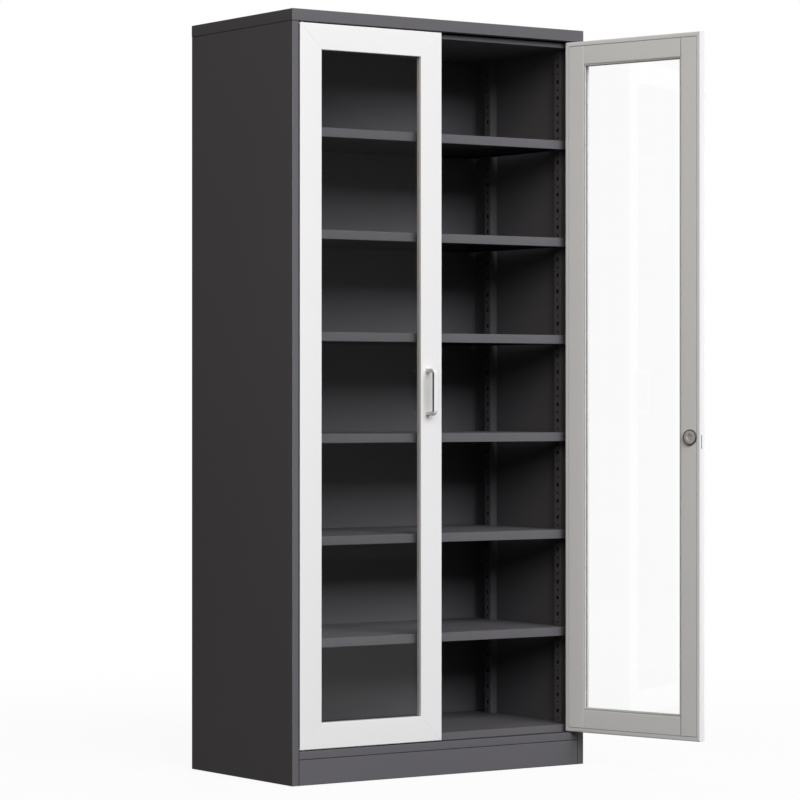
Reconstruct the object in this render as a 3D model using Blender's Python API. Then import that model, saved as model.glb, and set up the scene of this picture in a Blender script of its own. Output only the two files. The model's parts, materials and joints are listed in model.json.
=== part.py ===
"""Tall steel document cabinet with two framed glass doors, the right one standing open.

The carcass is folded sheet steel: side panels, back, cap, plinth and sill, with slotted
uprights that carry hook-on shelves. Each door is a mitred channel frame closed at the back
by a cover frame, with a gasketed pane between them, and turns on a pin at its top and bottom.
The origin is on the floor, in the middle of the plinth's foot flange. +Z is up and the doors
face -Y. Lengths are in metres.
"""

import math

import bmesh
import bpy
from mathutils import Matrix, Vector

# Carcass
CABINET_WIDTH = 0.850
CABINET_HEIGHT = 1.800
CABINET_DEPTH = 0.450
SHEET = 0.0008
SHEET_BEND = 0.0016
FIT = 0.0003
SEAM = 0.0009
SIDE_FLANGE = 0.018
SIDE_RETURN = 0.020
REAR_FLANGE = 0.015
BACK_FLANGE = 0.012
CAP_HEIGHT = 0.028
CAP_RETURN = 0.022
HEAD_DROP = 0.015
HEAD_SEAM = 0.003
INTERIOR_SETBACK = 0.025
PLINTH_HEIGHT = 0.060
PLINTH_FLANGE = 0.015
FOOT_FLANGE = 0.024
SILL_HEIGHT = 0.019
SILL_TREAD = 0.034
SILL_HEM = 0.012
FLOOR_RISE = 0.018

# Shelves and their uprights
SHELF_PITCH = 0.239
SHELF_SETBACK = 0.032
SHELF_LIP = 0.022
SHELF_RETURN = 0.012
SHELF_SIDE_GAP = 0.002
SHELF_BACK_GAP = 0.003
TOP_TIER_LEAST = 0.120
UPRIGHT_WIDTH = 0.027
UPRIGHT_PROUD = 0.002
UPRIGHT_SETBACK = 0.065
HOLES_PER_TIER = 12
SLOT_WIDTH = 0.008
SLOT_HEIGHT = 0.009
PEG_HOLE = 0.005
HOOK_DROP = 0.011
HOOK_GAUGE = 0.0015
HOOK_WIDTH = 0.006
HOOK_LUG = 0.004
HOOK_TAB = 0.0042
HOOK_LEG_INSET = 0.004

# Doors
DOOR_SIDE_GAP = 0.003
DOOR_MEETING_GAP = 0.002
DOOR_TOP_GAP = 0.003
DOOR_BOTTOM_GAP = 0.0025
DOOR_THICKNESS = 0.020
DOOR_SHEET = 0.001
DOOR_BEND = 0.0025
FRAME_WIDTH = 0.061
MITRE_GAP = 0.00025
RIM_RETURN = 0.010
WINDOW_LIP = 0.008
WINDOW_STEP = 0.004
COVER_SEAM = 0.0015
RAIL_SEAM = 0.0005
COVER_TONGUE = 0.006
GASKET_LEG = 0.001
GASKET_FLOOR = 0.0015
GLASS_THICKNESS = 0.004
GLASS_EDGE_COVER = 0.008
RIGHT_DOOR_OPEN = math.radians(105)

# Door pivots
PIVOT_INSET = 0.010
PIVOT_SETBACK = 0.006
PIN_RADIUS = 0.003
PIN_HEAD_RADIUS = 0.0042
PIN_HEAD_HEIGHT = 0.003
PIN_REACH = 0.006
PIN_CHAMFER = 0.0008
PIN_CLEARANCE = 0.0002
BUSH_WALL = 0.0008
BUSH_FLANGE_RADIUS = 0.0052
BUSH_FLANGE_HEIGHT = 0.0012
BUSH_TAIL = 0.005

# Pull handles
HANDLE_FROM_FREE_EDGE = 0.0422
HANDLE_HEIGHT = 0.9125
HANDLE_LENGTH = 0.112
HANDLE_PROJECTION = 0.036
HANDLE_WIDTH = 0.0105
HANDLE_THICKNESS = 0.0095
HANDLE_CORNER = 0.010
HANDLE_EDGE = 0.002
GRIP_LINER_LENGTH = 0.092
GRIP_LINER_DEPTH = 0.0072

# Lock on the right door
LOCK_FROM_FREE_EDGE = 0.027
LOCK_HEIGHT = 0.805
BARREL_RADIUS = 0.011
BARREL_LENGTH = 0.0115
ESCUTCHEON_RADIUS = 0.0135
ESCUTCHEON_HEIGHT = 0.0025
ESCUTCHEON_CHAMFER = 0.001
PLUG_RADIUS = 0.007
PLUG_CLEARANCE = 0.0003
KEY_SLOT_WIDTH = 0.0018
KEY_SLOT_HEIGHT = 0.008
KEY_SLOT_DEPTH = 0.006
SPINDLE_RADIUS = 0.004
SPINDLE_FLAT = 0.0012
SPINDLE_CLEARANCE = 0.0004
SPINDLE_SUNK = 0.001
CAM_THICKNESS = 0.002
CAM_LENGTH = 0.037
CAM_WIDTH = 0.010
CAM_HUB_RADIUS = 0.009
CAM_CORNER = 0.003
CAM_CLEARANCE = 0.0005
ROSE_RADIUS = 0.0174
ROSE_HEIGHT = 0.005
ROSE_EDGE = 0.002
ROSE_RECESS_RADIUS = 0.0085
ROSE_RECESS_DEPTH = 0.002

# Slide bolt that holds the left door shut
BOLT_FROM_FREE_EDGE = 0.030
BOLT_STANDOFF = 0.011
BOLT_RADIUS = 0.0035
BOLT_LENGTH = 0.064
BOLT_CHAMFER = 0.0015
BOLT_REST_GAP = 0.003
BOLT_CLEARANCE = 0.0008
KNOB_RADIUS = 0.003
KNOB_LENGTH = 0.006
GUIDE_PLATE = 0.0015
GUIDE_WIDTH = 0.026
GUIDE_HEIGHT = 0.048
GUIDE_BELOW_TIP = 0.008
EYE_HEIGHT = 0.010
EYE_WALL = 0.003
EYE_INSET = 0.003

# Faceting
BEND_STEPS = 2
CORNER_STEPS = 5
ROUND_SIDES = 16
LOCK_SIDES = 24
SMOOTH_ANGLE = math.radians(35)
CUT_PAST = 0.001

# Places worked out from the sizes above
HALF_WIDTH = CABINET_WIDTH / 2
FRONT = -FOOT_FLANGE / 2
BACK = FRONT + CABINET_DEPTH
CAP_BOTTOM = CABINET_HEIGHT - CAP_HEIGHT
SIDE_TOP = CAP_BOTTOM - SEAM
OPENING_HALF = HALF_WIDTH - SIDE_FLANGE
WEB_FACE = HALF_WIDTH - SHEET
RAIL_HALF = OPENING_HALF - SEAM
BACK_PANEL_REAR = BACK - SHEET - FIT
BACK_PANEL_FACE = BACK_PANEL_REAR - SHEET
BACK_PANEL_HALF = WEB_FACE - FIT
LINER_HALF = BACK_PANEL_HALF - SHEET - FIT
INTERIOR_FRONT = FRONT + INTERIOR_SETBACK
INTERIOR_BACK = BACK_PANEL_FACE - FIT
SILL_TOP = PLINTH_HEIGHT + SILL_HEIGHT
FLOOR_TOP = SILL_TOP + FLOOR_RISE
HEAD_BOTTOM = CAP_BOTTOM - HEAD_DROP
UPRIGHT_FACE = OPENING_HALF - UPRIGHT_PROUD
SHELF_HALF = UPRIGHT_FACE - SHELF_SIDE_GAP
SHELF_FRONT = FRONT + SHELF_SETBACK
SHELF_BACK = BACK_PANEL_FACE - SHELF_BACK_GAP
SHELF_COUNT = int((HEAD_BOTTOM - FLOOR_TOP - TOP_TIER_LEAST) / SHELF_PITCH)
SHELF_TOPS = [FLOOR_TOP + SHELF_PITCH * tier for tier in range(1, SHELF_COUNT + 1)]
HOLE_PITCH = SHELF_PITCH / HOLES_PER_TIER
UPRIGHT_CENTRES = {
    "front": FRONT + UPRIGHT_SETBACK + UPRIGHT_WIDTH / 2,
    "rear": BACK - UPRIGHT_SETBACK - UPRIGHT_WIDTH / 2,
}
DOOR_HINGE_EDGE = OPENING_HALF - DOOR_SIDE_GAP
DOOR_WIDTH = DOOR_HINGE_EDGE - DOOR_MEETING_GAP / 2
DOOR_BOTTOM = SILL_TOP + DOOR_BOTTOM_GAP
DOOR_TOP = CAP_BOTTOM - DOOR_TOP_GAP
PIVOT_X = DOOR_HINGE_EDGE - PIVOT_INSET
PIVOT_Y = FRONT + PIVOT_SETBACK
COVER_INSET = RIM_RETURN + COVER_SEAM
COVER_WIDTH = FRAME_WIDTH - WINDOW_STEP
GASKET_FRONT = WINDOW_LIP + FIT
GLASS_FRONT = GASKET_FRONT + GASKET_LEG + FIT
GLASS_REAR = GLASS_FRONT + GLASS_THICKNESS
GASKET_REAR = GLASS_REAR + FIT + GASKET_LEG
GLASS_INSET = FRAME_WIDTH - GLASS_EDGE_COVER
GASKET_BED = GLASS_INSET - FIT
BUSH_BORE = PIN_RADIUS + PIN_CLEARANCE
BUSH_RADIUS = BUSH_BORE + BUSH_WALL
HANDLE_INSET = DOOR_WIDTH - HANDLE_FROM_FREE_EDGE
GRIP_BACK = HANDLE_THICKNESS - HANDLE_PROJECTION
GRIP_BED = GRIP_BACK - GRIP_LINER_DEPTH
LOCK_INSET = DOOR_WIDTH - LOCK_FROM_FREE_EDGE
CAM_FRONT = BARREL_LENGTH + 2 * FIT
CAM_REAR = CAM_FRONT + CAM_THICKNESS
ROSE_FRONT = DOOR_THICKNESS + FIT
ROSE_BACK = ROSE_FRONT + ROSE_HEIGHT
BOLT_INSET = DOOR_WIDTH - BOLT_FROM_FREE_EDGE
BOLT_DEPTH = DOOR_THICKNESS + BOLT_STANDOFF
BOLT_TIP = HEAD_BOTTOM - BOLT_REST_GAP
GUIDE_TOP = BOLT_TIP - GUIDE_BELOW_TIP
GUIDE_BOTTOM = GUIDE_TOP - GUIDE_HEIGHT
LEFT = -1
RIGHT = 1
SIDES = {LEFT: "left", RIGHT: "right"}

# Finishes: colour, roughness, metallic value, share of light let through
CHARCOAL_COAT = ((0.122, 0.118, 0.127), 0.55, 0.0, 0.0)
WHITE_COAT = ((0.820, 0.820, 0.815), 0.45, 0.0, 0.0)
CLEAR_GLASS = ((0.940, 0.960, 0.950), 0.03, 0.0, 1.0)
GREY_RUBBER = ((0.240, 0.235, 0.230), 0.80, 0.0, 0.0)
DARK_GRIP = ((0.045, 0.043, 0.042), 0.65, 0.0, 0.0)
NICKEL = ((0.430, 0.420, 0.410), 0.35, 1.0, 0.0)
ZINC = ((0.560, 0.570, 0.580), 0.40, 1.0, 0.0)
NYLON = ((0.700, 0.690, 0.660), 0.60, 0.0, 0.0)


# Objects


def clear_scene():
    for old in list(bpy.data.objects):
        bpy.data.objects.remove(old)


def finish_material(name, finish):
    """A Principled material for one piece."""
    colour, roughness, metallic, transmission = finish
    material = bpy.data.materials.new(name + "_finish")
    material.use_nodes = True
    shader = material.node_tree.nodes["Principled BSDF"]
    shader.inputs["Base Color"].default_value = (*colour, 1.0)
    shader.inputs["Roughness"].default_value = roughness
    shader.inputs["Metallic"].default_value = metallic
    shader.inputs["Transmission Weight"].default_value = transmission
    return material


def make_object(name, shape):
    """An object from a shape's points and faces, with its faces turned outwards."""
    points, faces = shape
    mesh = bpy.data.meshes.new(name)
    mesh.from_pydata(points, [], faces)
    surface = bmesh.new()
    surface.from_mesh(mesh)
    bmesh.ops.recalc_face_normals(surface, faces=surface.faces)
    surface.to_mesh(mesh)
    surface.free()
    piece = bpy.data.objects.new(name, mesh)
    bpy.context.scene.collection.objects.link(piece)
    return piece


def combine(target, tool, operation):
    """Cut the tool from the target or join it on, and drop the tool."""
    modifier = target.modifiers.new(operation, "BOOLEAN")
    modifier.operation = operation
    modifier.object = tool
    graph = bpy.context.evaluated_depsgraph_get()
    target.data = bpy.data.meshes.new_from_object(target.evaluated_get(graph))
    target.modifiers.clear()
    bpy.data.objects.remove(tool)


def cut(target, shape):
    combine(target, make_object("cutter", shape), "DIFFERENCE")


def join(target, shape):
    combine(target, make_object("addition", shape), "UNION")


def settle(piece, finish, origin=(0.0, 0.0, 0.0), carrier=None):
    """Give a piece its finish, its origin and the empty that carries it."""
    origin = Vector(origin)
    piece.data.transform(Matrix.Translation(-origin))
    if carrier:
        piece.parent = carrier
        origin = origin - carrier.location
    piece.location = origin
    piece.data.materials.clear()
    piece.data.materials.append(finish_material(piece.name, finish))
    piece.data.shade_smooth()
    piece.data.set_sharp_from_angle(angle=SMOOTH_ANGLE)


# Shapes: each function returns points and faces


def rounded(path, radii, steps=BEND_STEPS):
    """A flat path with each inner corner replaced by an arc of its own radius."""
    points = [path[0]]
    for before, corner, after, radius in zip(path, path[1:], path[2:], radii):
        into = (corner - before).normalized()
        out = (after - corner).normalized()
        turn = math.atan2(into.cross(out), into.dot(out))
        if radius <= 0:
            points.append(corner)
            continue
        start = corner - into * radius * math.tan(abs(turn) / 2)
        inward = Vector((-into.y, into.x)) * math.copysign(radius, turn)
        for step in range(steps + 1):
            arm = -inward
            arm.rotate(Matrix.Rotation(turn * step / steps, 2))
            points.append(start + inward + arm)
    points.append(path[-1])
    return points


def folded_sheet(corners, thickness, bends):
    """Outline of a bent sheet, out along its given side and back along the other.

    The sheet lies to the left of the path, or to the right where the thickness is negative.
    """
    path = [Vector(corner) for corner in corners]
    side = math.copysign(1.0, thickness)
    gauge = abs(thickness)
    legs = [(after - before).normalized() for before, after in zip(path, path[1:])]
    normals = [Vector((-leg.y, leg.x)) * side for leg in legs]
    shifted = [path[0] + normals[0] * gauge]
    for corner, first, second in zip(path[1:], normals, normals[1:]):
        shifted.append(corner + (first + second) * gauge / (1 + first.dot(second)))
    shifted.append(path[-1] + normals[-1] * gauge)
    given_radii = []
    other_radii = []
    for first, second, bend in zip(legs, legs[1:], bends):
        tight = max(bend - gauge, 0.0)
        towards_sheet = first.cross(second) * side > 0
        given_radii.append(bend if towards_sheet else tight)
        other_radii.append(tight if towards_sheet else bend)
    return rounded(path, given_radii) + rounded(shifted, other_radii)[::-1]


def prism(outline, low, high, place):
    """A closed outline carried along; low and high give the two ends at each outline point."""
    count = len(outline)
    points = [place(point.x, point.y, low(point)) for point in outline]
    points += [place(point.x, point.y, high(point)) for point in outline]
    faces = [tuple(range(count)), tuple(range(count, 2 * count))]
    for index in range(count):
        after = (index + 1) % count
        faces.append((index, after, after + count, index + count))
    return points, faces


def straight(outline, low, high, place):
    """A prism with square ends."""
    return prism(outline, lambda point: low, lambda point: high, place)


def tray(section, low, high, place, ring=False):
    """Rectangular loops bridged in order, one at each (inset, level) of a section.

    The first and last loops are closed by a face, or joined to each other in a ring.
    """
    points = []
    for inset, level in section:
        points.append(place(low[0] + inset, low[1] + inset, level))
        points.append(place(high[0] - inset, low[1] + inset, level))
        points.append(place(high[0] - inset, high[1] - inset, level))
        points.append(place(low[0] + inset, high[1] - inset, level))
    faces = []
    count = len(section)
    for loop in range(count if ring else count - 1):
        following = (loop + 1) % count
        for side in range(4):
            after = (side + 1) % 4
            faces.append(
                (4 * loop + side, 4 * loop + after, 4 * following + after, 4 * following + side)
            )
    if not ring:
        faces += [(0, 1, 2, 3), tuple(range(4 * count - 4, 4 * count))]
    return points, faces


def block(low, high):
    return tray([(0.0, low[2]), (0.0, high[2])], low, high, along_z)


def gathered(shapes):
    """Separate shapes as one, to be cut or joined in one stroke."""
    points = []
    faces = []
    for more_points, more_faces in shapes:
        start = len(points)
        points += more_points
        faces += [tuple(start + index for index in face) for face in more_faces]
    return points, faces


def turned(profile, place, hollow=False, sides=ROUND_SIDES):
    """A profile of (radius, level) turned about an axis, its end points on the axis unless hollow."""
    points = []
    rings = []
    for radius, level in profile:
        count = sides if radius > 0 else 1
        rings.append(range(len(points), len(points) + count))
        for side in range(count):
            angle = 2 * math.pi * side / sides
            points.append(place(radius * math.cos(angle), radius * math.sin(angle), level))
    faces = []
    pairs = list(zip(rings, rings[1:]))
    if hollow:
        pairs.append((rings[-1], rings[0]))
    for lower, upper in pairs:
        for side in range(sides):
            after = (side + 1) % sides
            corners = [
                lower[side % len(lower)],
                lower[after % len(lower)],
                upper[after % len(upper)],
                upper[side % len(upper)],
            ]
            faces.append(tuple(dict.fromkeys(corners)))
    return points, faces


def drill(radius, low, high, place, sides=ROUND_SIDES):
    profile = [(0.0, low), (radius, low), (radius, high), (0.0, high)]
    return turned(profile, place, sides=sides)


def swept(path, section, place):
    """A section of (across, outwards) points carried along a flat path."""
    points = []
    for index, point in enumerate(path):
        ahead = path[min(index + 1, len(path) - 1)]
        behind = path[max(index - 1, 0)]
        along = (ahead - behind).normalized()
        outwards = Vector((-along.y, along.x))
        for across, out in section:
            spot = point + outwards * out
            points.append(place(across, spot.y, spot.x))
    count = len(section)
    faces = [tuple(range(count)), tuple(range(len(points) - count, len(points)))]
    for start in range(0, len(points) - count, count):
        for side in range(count):
            after = (side + 1) % count
            faces.append((start + side, start + after, start + after + count, start + side + count))
    return points, faces


# Placing: outline coordinates a and b, and the level c that they are carried along


def along_z(a, b, c):
    return (a, b, c)


def along_x(a, b, c):
    return (c, a, b)


def along_y(a, b, c):
    return (a, c, b)


def on_side(side):
    """Plan coordinates of the right-hand side, mirrored for the left."""
    return lambda a, b, c: (side * a, b, c)


def upright_axis(x, y):
    """Turned pieces that stand on a vertical axis."""
    return lambda a, b, c: (x + a, y + b, c)


def door_place(side):
    """A closed door's own coordinates: inset from the hinge edge, depth behind the front, height."""
    return lambda inset, depth, height: (side * (DOOR_HINGE_EDGE - inset), FRONT + depth, height)


def door_axis(side, inset, height):
    """Turned pieces whose axis is square to a door, with levels counted as depth."""
    door = door_place(side)
    return lambda a, b, c: door(inset + a, c, height + b)


# Carcass


def side_panel(side):
    corners = [
        (OPENING_HALF, FRONT + SIDE_RETURN),
        (OPENING_HALF, FRONT),
        (HALF_WIDTH, FRONT),
        (HALF_WIDTH, BACK),
        (HALF_WIDTH - REAR_FLANGE, BACK),
    ]
    outline = folded_sheet(corners, SHEET, [SHEET_BEND] * 3)
    panel = make_object(SIDES[side] + "_side_panel", straight(outline, 0.0, SIDE_TOP, on_side(side)))
    settle(panel, CHARCOAL_COAT)


def back_panel():
    corners = [
        (2 * SHEET_BEND, BACK_PANEL_REAR),
        (0.0, BACK_PANEL_REAR),
        (0.0, BACK_PANEL_REAR - BACK_FLANGE),
    ]
    section = folded_sheet(corners, SHEET, [SHEET_BEND])
    low = (-BACK_PANEL_HALF, 0.0)
    high = (BACK_PANEL_HALF, SIDE_TOP)
    settle(make_object("back_panel", tray(section, low, high, along_y)), CHARCOAL_COAT)


def top_cap():
    corners = [
        (2 * SHEET_BEND, CABINET_HEIGHT),
        (0.0, CABINET_HEIGHT),
        (0.0, CAP_BOTTOM),
        (CAP_RETURN, CAP_BOTTOM),
    ]
    section = folded_sheet(corners, SHEET, [SHEET_BEND] * 2)
    cap = make_object("top_cap", tray(section, (-HALF_WIDTH, FRONT), (HALF_WIDTH, BACK), along_z))
    for side in SIDES:
        bush_hole = upright_axis(side * PIVOT_X, PIVOT_Y)
        cut(cap, drill(BUSH_RADIUS + FIT, CAP_BOTTOM - CUT_PAST, CAP_BOTTOM + BUSH_TAIL, bush_hole))
    settle(cap, CHARCOAL_COAT)


def top_liner():
    """The ceiling of the top tier, with a hole for the slide bolt."""
    corners = [
        (2 * SHEET_BEND, HEAD_BOTTOM),
        (0.0, HEAD_BOTTOM),
        (0.0, CAP_BOTTOM - HEAD_SEAM),
    ]
    section = folded_sheet(corners, -SHEET, [SHEET_BEND])
    low = (-LINER_HALF, INTERIOR_FRONT)
    high = (LINER_HALF, INTERIOR_BACK)
    liner = make_object("top_liner", tray(section, low, high, along_z))
    x, y, _ = door_place(LEFT)(BOLT_INSET, BOLT_DEPTH, 0.0)
    bolt_hole = upright_axis(x, y)
    hole_radius = BOLT_RADIUS + BOLT_CLEARANCE
    cut(liner, drill(hole_radius, HEAD_BOTTOM - CUT_PAST, HEAD_BOTTOM + SHEET + CUT_PAST, bolt_hole))
    settle(liner, CHARCOAL_COAT)


def floor_panel():
    corners = [
        (2 * SHEET_BEND, FLOOR_TOP),
        (0.0, FLOOR_TOP),
        (0.0, SILL_TOP + FIT),
    ]
    section = folded_sheet(corners, SHEET, [SHEET_BEND])
    low = (-LINER_HALF, INTERIOR_FRONT)
    high = (LINER_HALF, INTERIOR_BACK)
    settle(make_object("floor_panel", tray(section, low, high, along_z)), CHARCOAL_COAT)


def sill_rail():
    corners = [
        (FRONT + SILL_HEM, PLINTH_HEIGHT),
        (FRONT, PLINTH_HEIGHT),
        (FRONT, SILL_TOP),
        (FRONT + SILL_TREAD, SILL_TOP),
    ]
    outline = folded_sheet(corners, -SHEET, [SHEET_BEND] * 2)
    sill = make_object("sill_rail", straight(outline, -RAIL_HALF, RAIL_HALF, along_x))
    for side in SIDES:
        bush_hole = upright_axis(side * PIVOT_X, PIVOT_Y)
        cut(sill, drill(BUSH_RADIUS + FIT, SILL_TOP - BUSH_TAIL, SILL_TOP + CUT_PAST, bush_hole))
    settle(sill, CHARCOAL_COAT)


def plinth():
    top = PLINTH_HEIGHT - SEAM
    corners = [
        (FRONT + FOOT_FLANGE, 0.0),
        (FRONT, 0.0),
        (FRONT, top),
        (FRONT + PLINTH_FLANGE, top),
    ]
    outline = folded_sheet(corners, -SHEET, [SHEET_BEND] * 2)
    settle(make_object("plinth", straight(outline, -RAIL_HALF, RAIL_HALF, along_x)), CHARCOAL_COAT)


def pivot_bush(side, end):
    """A flanged nylon bush in the cap's return or in the sill, with its flange towards the door."""
    seat, outwards = {"top": (CAP_BOTTOM, 1), "bottom": (SILL_TOP, -1)}[end]
    shoulder = seat - outwards * FIT
    face = shoulder - outwards * BUSH_FLANGE_HEIGHT
    tail = seat + outwards * BUSH_TAIL
    profile = [
        (BUSH_BORE, face),
        (BUSH_FLANGE_RADIUS, face),
        (BUSH_FLANGE_RADIUS, shoulder),
        (BUSH_RADIUS, shoulder),
        (BUSH_RADIUS, tail),
        (BUSH_BORE, tail),
    ]
    name = f"{SIDES[side]}_{end}_pivot_bush"
    bush = make_object(name, turned(profile, upright_axis(side * PIVOT_X, PIVOT_Y), hollow=True))
    settle(bush, NYLON)


# Uprights and shelves


def punch_row(side, centre):
    """The row of openings in one upright, with a hook slot at each shelf and peg holes between."""
    xs = sorted((side * (UPRIGHT_FACE - CUT_PAST), side * (UPRIGHT_FACE + SHEET + CUT_PAST)))
    punches = []
    for step in range(1, int((HEAD_BOTTOM - FLOOR_TOP) / HOLE_PITCH) + 1):
        height = FLOOR_TOP + HOLE_PITCH * step - HOOK_DROP
        wide, tall = ((SLOT_WIDTH, SLOT_HEIGHT), (PEG_HOLE, PEG_HOLE))[step % 2]
        low = (xs[0], centre - wide / 2, height - tall / 2)
        high = (xs[1], centre + wide / 2, height + tall / 2)
        punches.append(block(low, high))
    return gathered(punches)


def upright(side, row):
    """A channel with its open side to the side panel and a row of openings in its face."""
    centre = UPRIGHT_CENTRES[row]
    leg_end = WEB_FACE - FIT
    corners = [
        (leg_end, centre - UPRIGHT_WIDTH / 2),
        (UPRIGHT_FACE, centre - UPRIGHT_WIDTH / 2),
        (UPRIGHT_FACE, centre + UPRIGHT_WIDTH / 2),
        (leg_end, centre + UPRIGHT_WIDTH / 2),
    ]
    outline = folded_sheet(corners, -SHEET, [SHEET_BEND] * 2)
    ends = (FLOOR_TOP + FIT, HEAD_BOTTOM - FIT)
    channel = make_object(f"{SIDES[side]}_{row}_upright", straight(outline, *ends, on_side(side)))
    cut(channel, punch_row(side, centre))
    settle(channel, CHARCOAL_COAT)


def hook_shape(side, centre, shelf_top):
    """A hook welded to a shelf's side: a leg on the lip, a lug through a slot and a tab behind it."""
    slot_bottom = shelf_top - HOOK_DROP - SLOT_HEIGHT / 2
    lug_bottom = slot_bottom + FIT
    lug_top = lug_bottom + HOOK_LUG
    leg_root = SHELF_HALF - SHEET / 2
    leg_face = UPRIGHT_FACE - FIT
    leg_top = shelf_top - HOOK_LEG_INSET
    leg_bottom = shelf_top - SHELF_LIP + HOOK_LEG_INSET
    tab_face = UPRIGHT_FACE + SHEET + FIT
    tab_bottom = lug_bottom - HOOK_TAB
    corners = [
        (leg_root, leg_bottom),
        (leg_face, leg_bottom),
        (leg_face, lug_bottom),
        (tab_face, lug_bottom),
        (tab_face, tab_bottom),
        (tab_face + HOOK_GAUGE, tab_bottom),
        (tab_face + HOOK_GAUGE, lug_top),
        (leg_face, lug_top),
        (leg_face, leg_top),
        (leg_root, leg_top),
    ]
    ends = (centre - HOOK_WIDTH / 2, centre + HOOK_WIDTH / 2)
    outline = [Vector(corner) for corner in corners]
    return straight(outline, *ends, lambda a, b, c: (side * a, c, b))


def shelf(number, top):
    corners = [
        (2 * SHEET_BEND, top),
        (0.0, top),
        (0.0, top - SHELF_LIP),
        (SHELF_RETURN, top - SHELF_LIP),
    ]
    section = folded_sheet(corners, SHEET, [SHEET_BEND] * 2)
    low = (-SHELF_HALF, SHELF_FRONT)
    high = (SHELF_HALF, SHELF_BACK)
    board = make_object(f"shelf_{number}", tray(section, low, high, along_z))
    hooks = [hook_shape(side, centre, top) for side in SIDES for centre in UPRIGHT_CENTRES.values()]
    join(board, gathered(hooks))
    settle(board, CHARCOAL_COAT)


# Doors


def frame_members(side):
    """Where each member of a door lies: its outline's (inset, depth) and the level along it."""
    door = door_place(side)
    return {
        "hinge_stile": lambda inset, depth, along: door(inset, depth, along),
        "free_stile": lambda inset, depth, along: door(DOOR_WIDTH - inset, depth, along),
        "bottom_rail": lambda inset, depth, along: door(along, depth, DOOR_BOTTOM + inset),
        "top_rail": lambda inset, depth, along: door(along, depth, DOOR_TOP - inset),
    }


def outer_frame(side):
    """Four channels mitred at the corners: front skin, edge wall, rim return and window lip."""
    corners = [
        (RIM_RETURN, DOOR_THICKNESS),
        (0.0, DOOR_THICKNESS),
        (0.0, 0.0),
        (FRAME_WIDTH, 0.0),
        (FRAME_WIDTH, WINDOW_LIP),
    ]
    outline = folded_sheet(corners, DOOR_SHEET, [DOOR_BEND] * 3)
    members = {}
    for name, place in frame_members(side).items():
        low, high = (DOOR_BOTTOM, DOOR_TOP) if "stile" in name else (0.0, DOOR_WIDTH)
        shape = prism(
            outline,
            lambda point, low=low: low + point.x + MITRE_GAP,
            lambda point, high=high: high - point.x - MITRE_GAP,
            place,
        )
        members[name] = make_object(f"{SIDES[side]}_door_{name}", shape)
    return members


def cover_frame(side):
    """The back of a door: two full-height stiles with rails between them, tucked under the rim."""
    tuck = DOOR_THICKNESS - DOOR_SHEET - FIT
    corners = [
        (RIM_RETURN - COVER_TONGUE, tuck),
        (COVER_INSET, tuck),
        (COVER_INSET, DOOR_THICKNESS),
        (COVER_WIDTH, DOOR_THICKNESS),
        (COVER_WIDTH, GASKET_REAR + FIT),
    ]
    outline = folded_sheet(corners, -DOOR_SHEET, [0.0, 0.0, DOOR_BEND])
    stile_ends = (DOOR_BOTTOM + COVER_INSET, DOOR_TOP - COVER_INSET)
    rail_start = COVER_WIDTH + RAIL_SEAM
    rail_ends = (rail_start, DOOR_WIDTH - rail_start)
    members = {}
    for name, place in frame_members(side).items():
        ends = stile_ends if "stile" in name else rail_ends
        shape = straight(outline, *ends, place)
        members[name] = make_object(f"{SIDES[side]}_door_inner_{name}", shape)
    return members


def door_pane(side):
    door = door_place(side)
    low = (0.0, DOOR_BOTTOM)
    high = (DOOR_WIDTH, DOOR_TOP)
    section = [(GLASS_INSET, GLASS_FRONT), (GLASS_INSET, GLASS_REAR)]
    shape = tray(section, low, high, lambda a, b, c: door(a, c, b))
    return make_object(SIDES[side] + "_door_glass", shape)


def door_gasket(side):
    """A channel of rubber round the edge of the pane."""
    door = door_place(side)
    outer = GASKET_BED - GASKET_FLOOR
    section = [
        (outer, GASKET_FRONT),
        (FRAME_WIDTH, GASKET_FRONT),
        (FRAME_WIDTH, GASKET_FRONT + GASKET_LEG),
        (GASKET_BED, GASKET_FRONT + GASKET_LEG),
        (GASKET_BED, GASKET_REAR - GASKET_LEG),
        (COVER_WIDTH, GASKET_REAR - GASKET_LEG),
        (COVER_WIDTH, GASKET_REAR),
        (outer, GASKET_REAR),
    ]
    low = (0.0, DOOR_BOTTOM)
    high = (DOOR_WIDTH, DOOR_TOP)
    shape = tray(section, low, high, lambda a, b, c: door(a, c, b), ring=True)
    return make_object(SIDES[side] + "_door_gasket", shape)


def pivot_pin(side, end):
    """A headed pin, its head inside the rail and its stem in the bush."""
    edge, seat, outwards = {"top": (DOOR_TOP, CAP_BOTTOM, 1), "bottom": (DOOR_BOTTOM, SILL_TOP, -1)}[end]
    shoulder = edge - outwards * (DOOR_SHEET + FIT)
    tip = seat + outwards * PIN_REACH
    profile = [
        (0.0, shoulder - outwards * PIN_HEAD_HEIGHT),
        (PIN_HEAD_RADIUS, shoulder - outwards * PIN_HEAD_HEIGHT),
        (PIN_HEAD_RADIUS, shoulder),
        (PIN_RADIUS, shoulder),
        (PIN_RADIUS, tip - outwards * PIN_CHAMFER),
        (PIN_RADIUS - PIN_CHAMFER, tip),
        (0.0, tip),
    ]
    shape = turned(profile, upright_axis(side * PIVOT_X, PIVOT_Y))
    return make_object(f"{SIDES[side]}_door_{end}_pivot_pin", shape)


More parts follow.
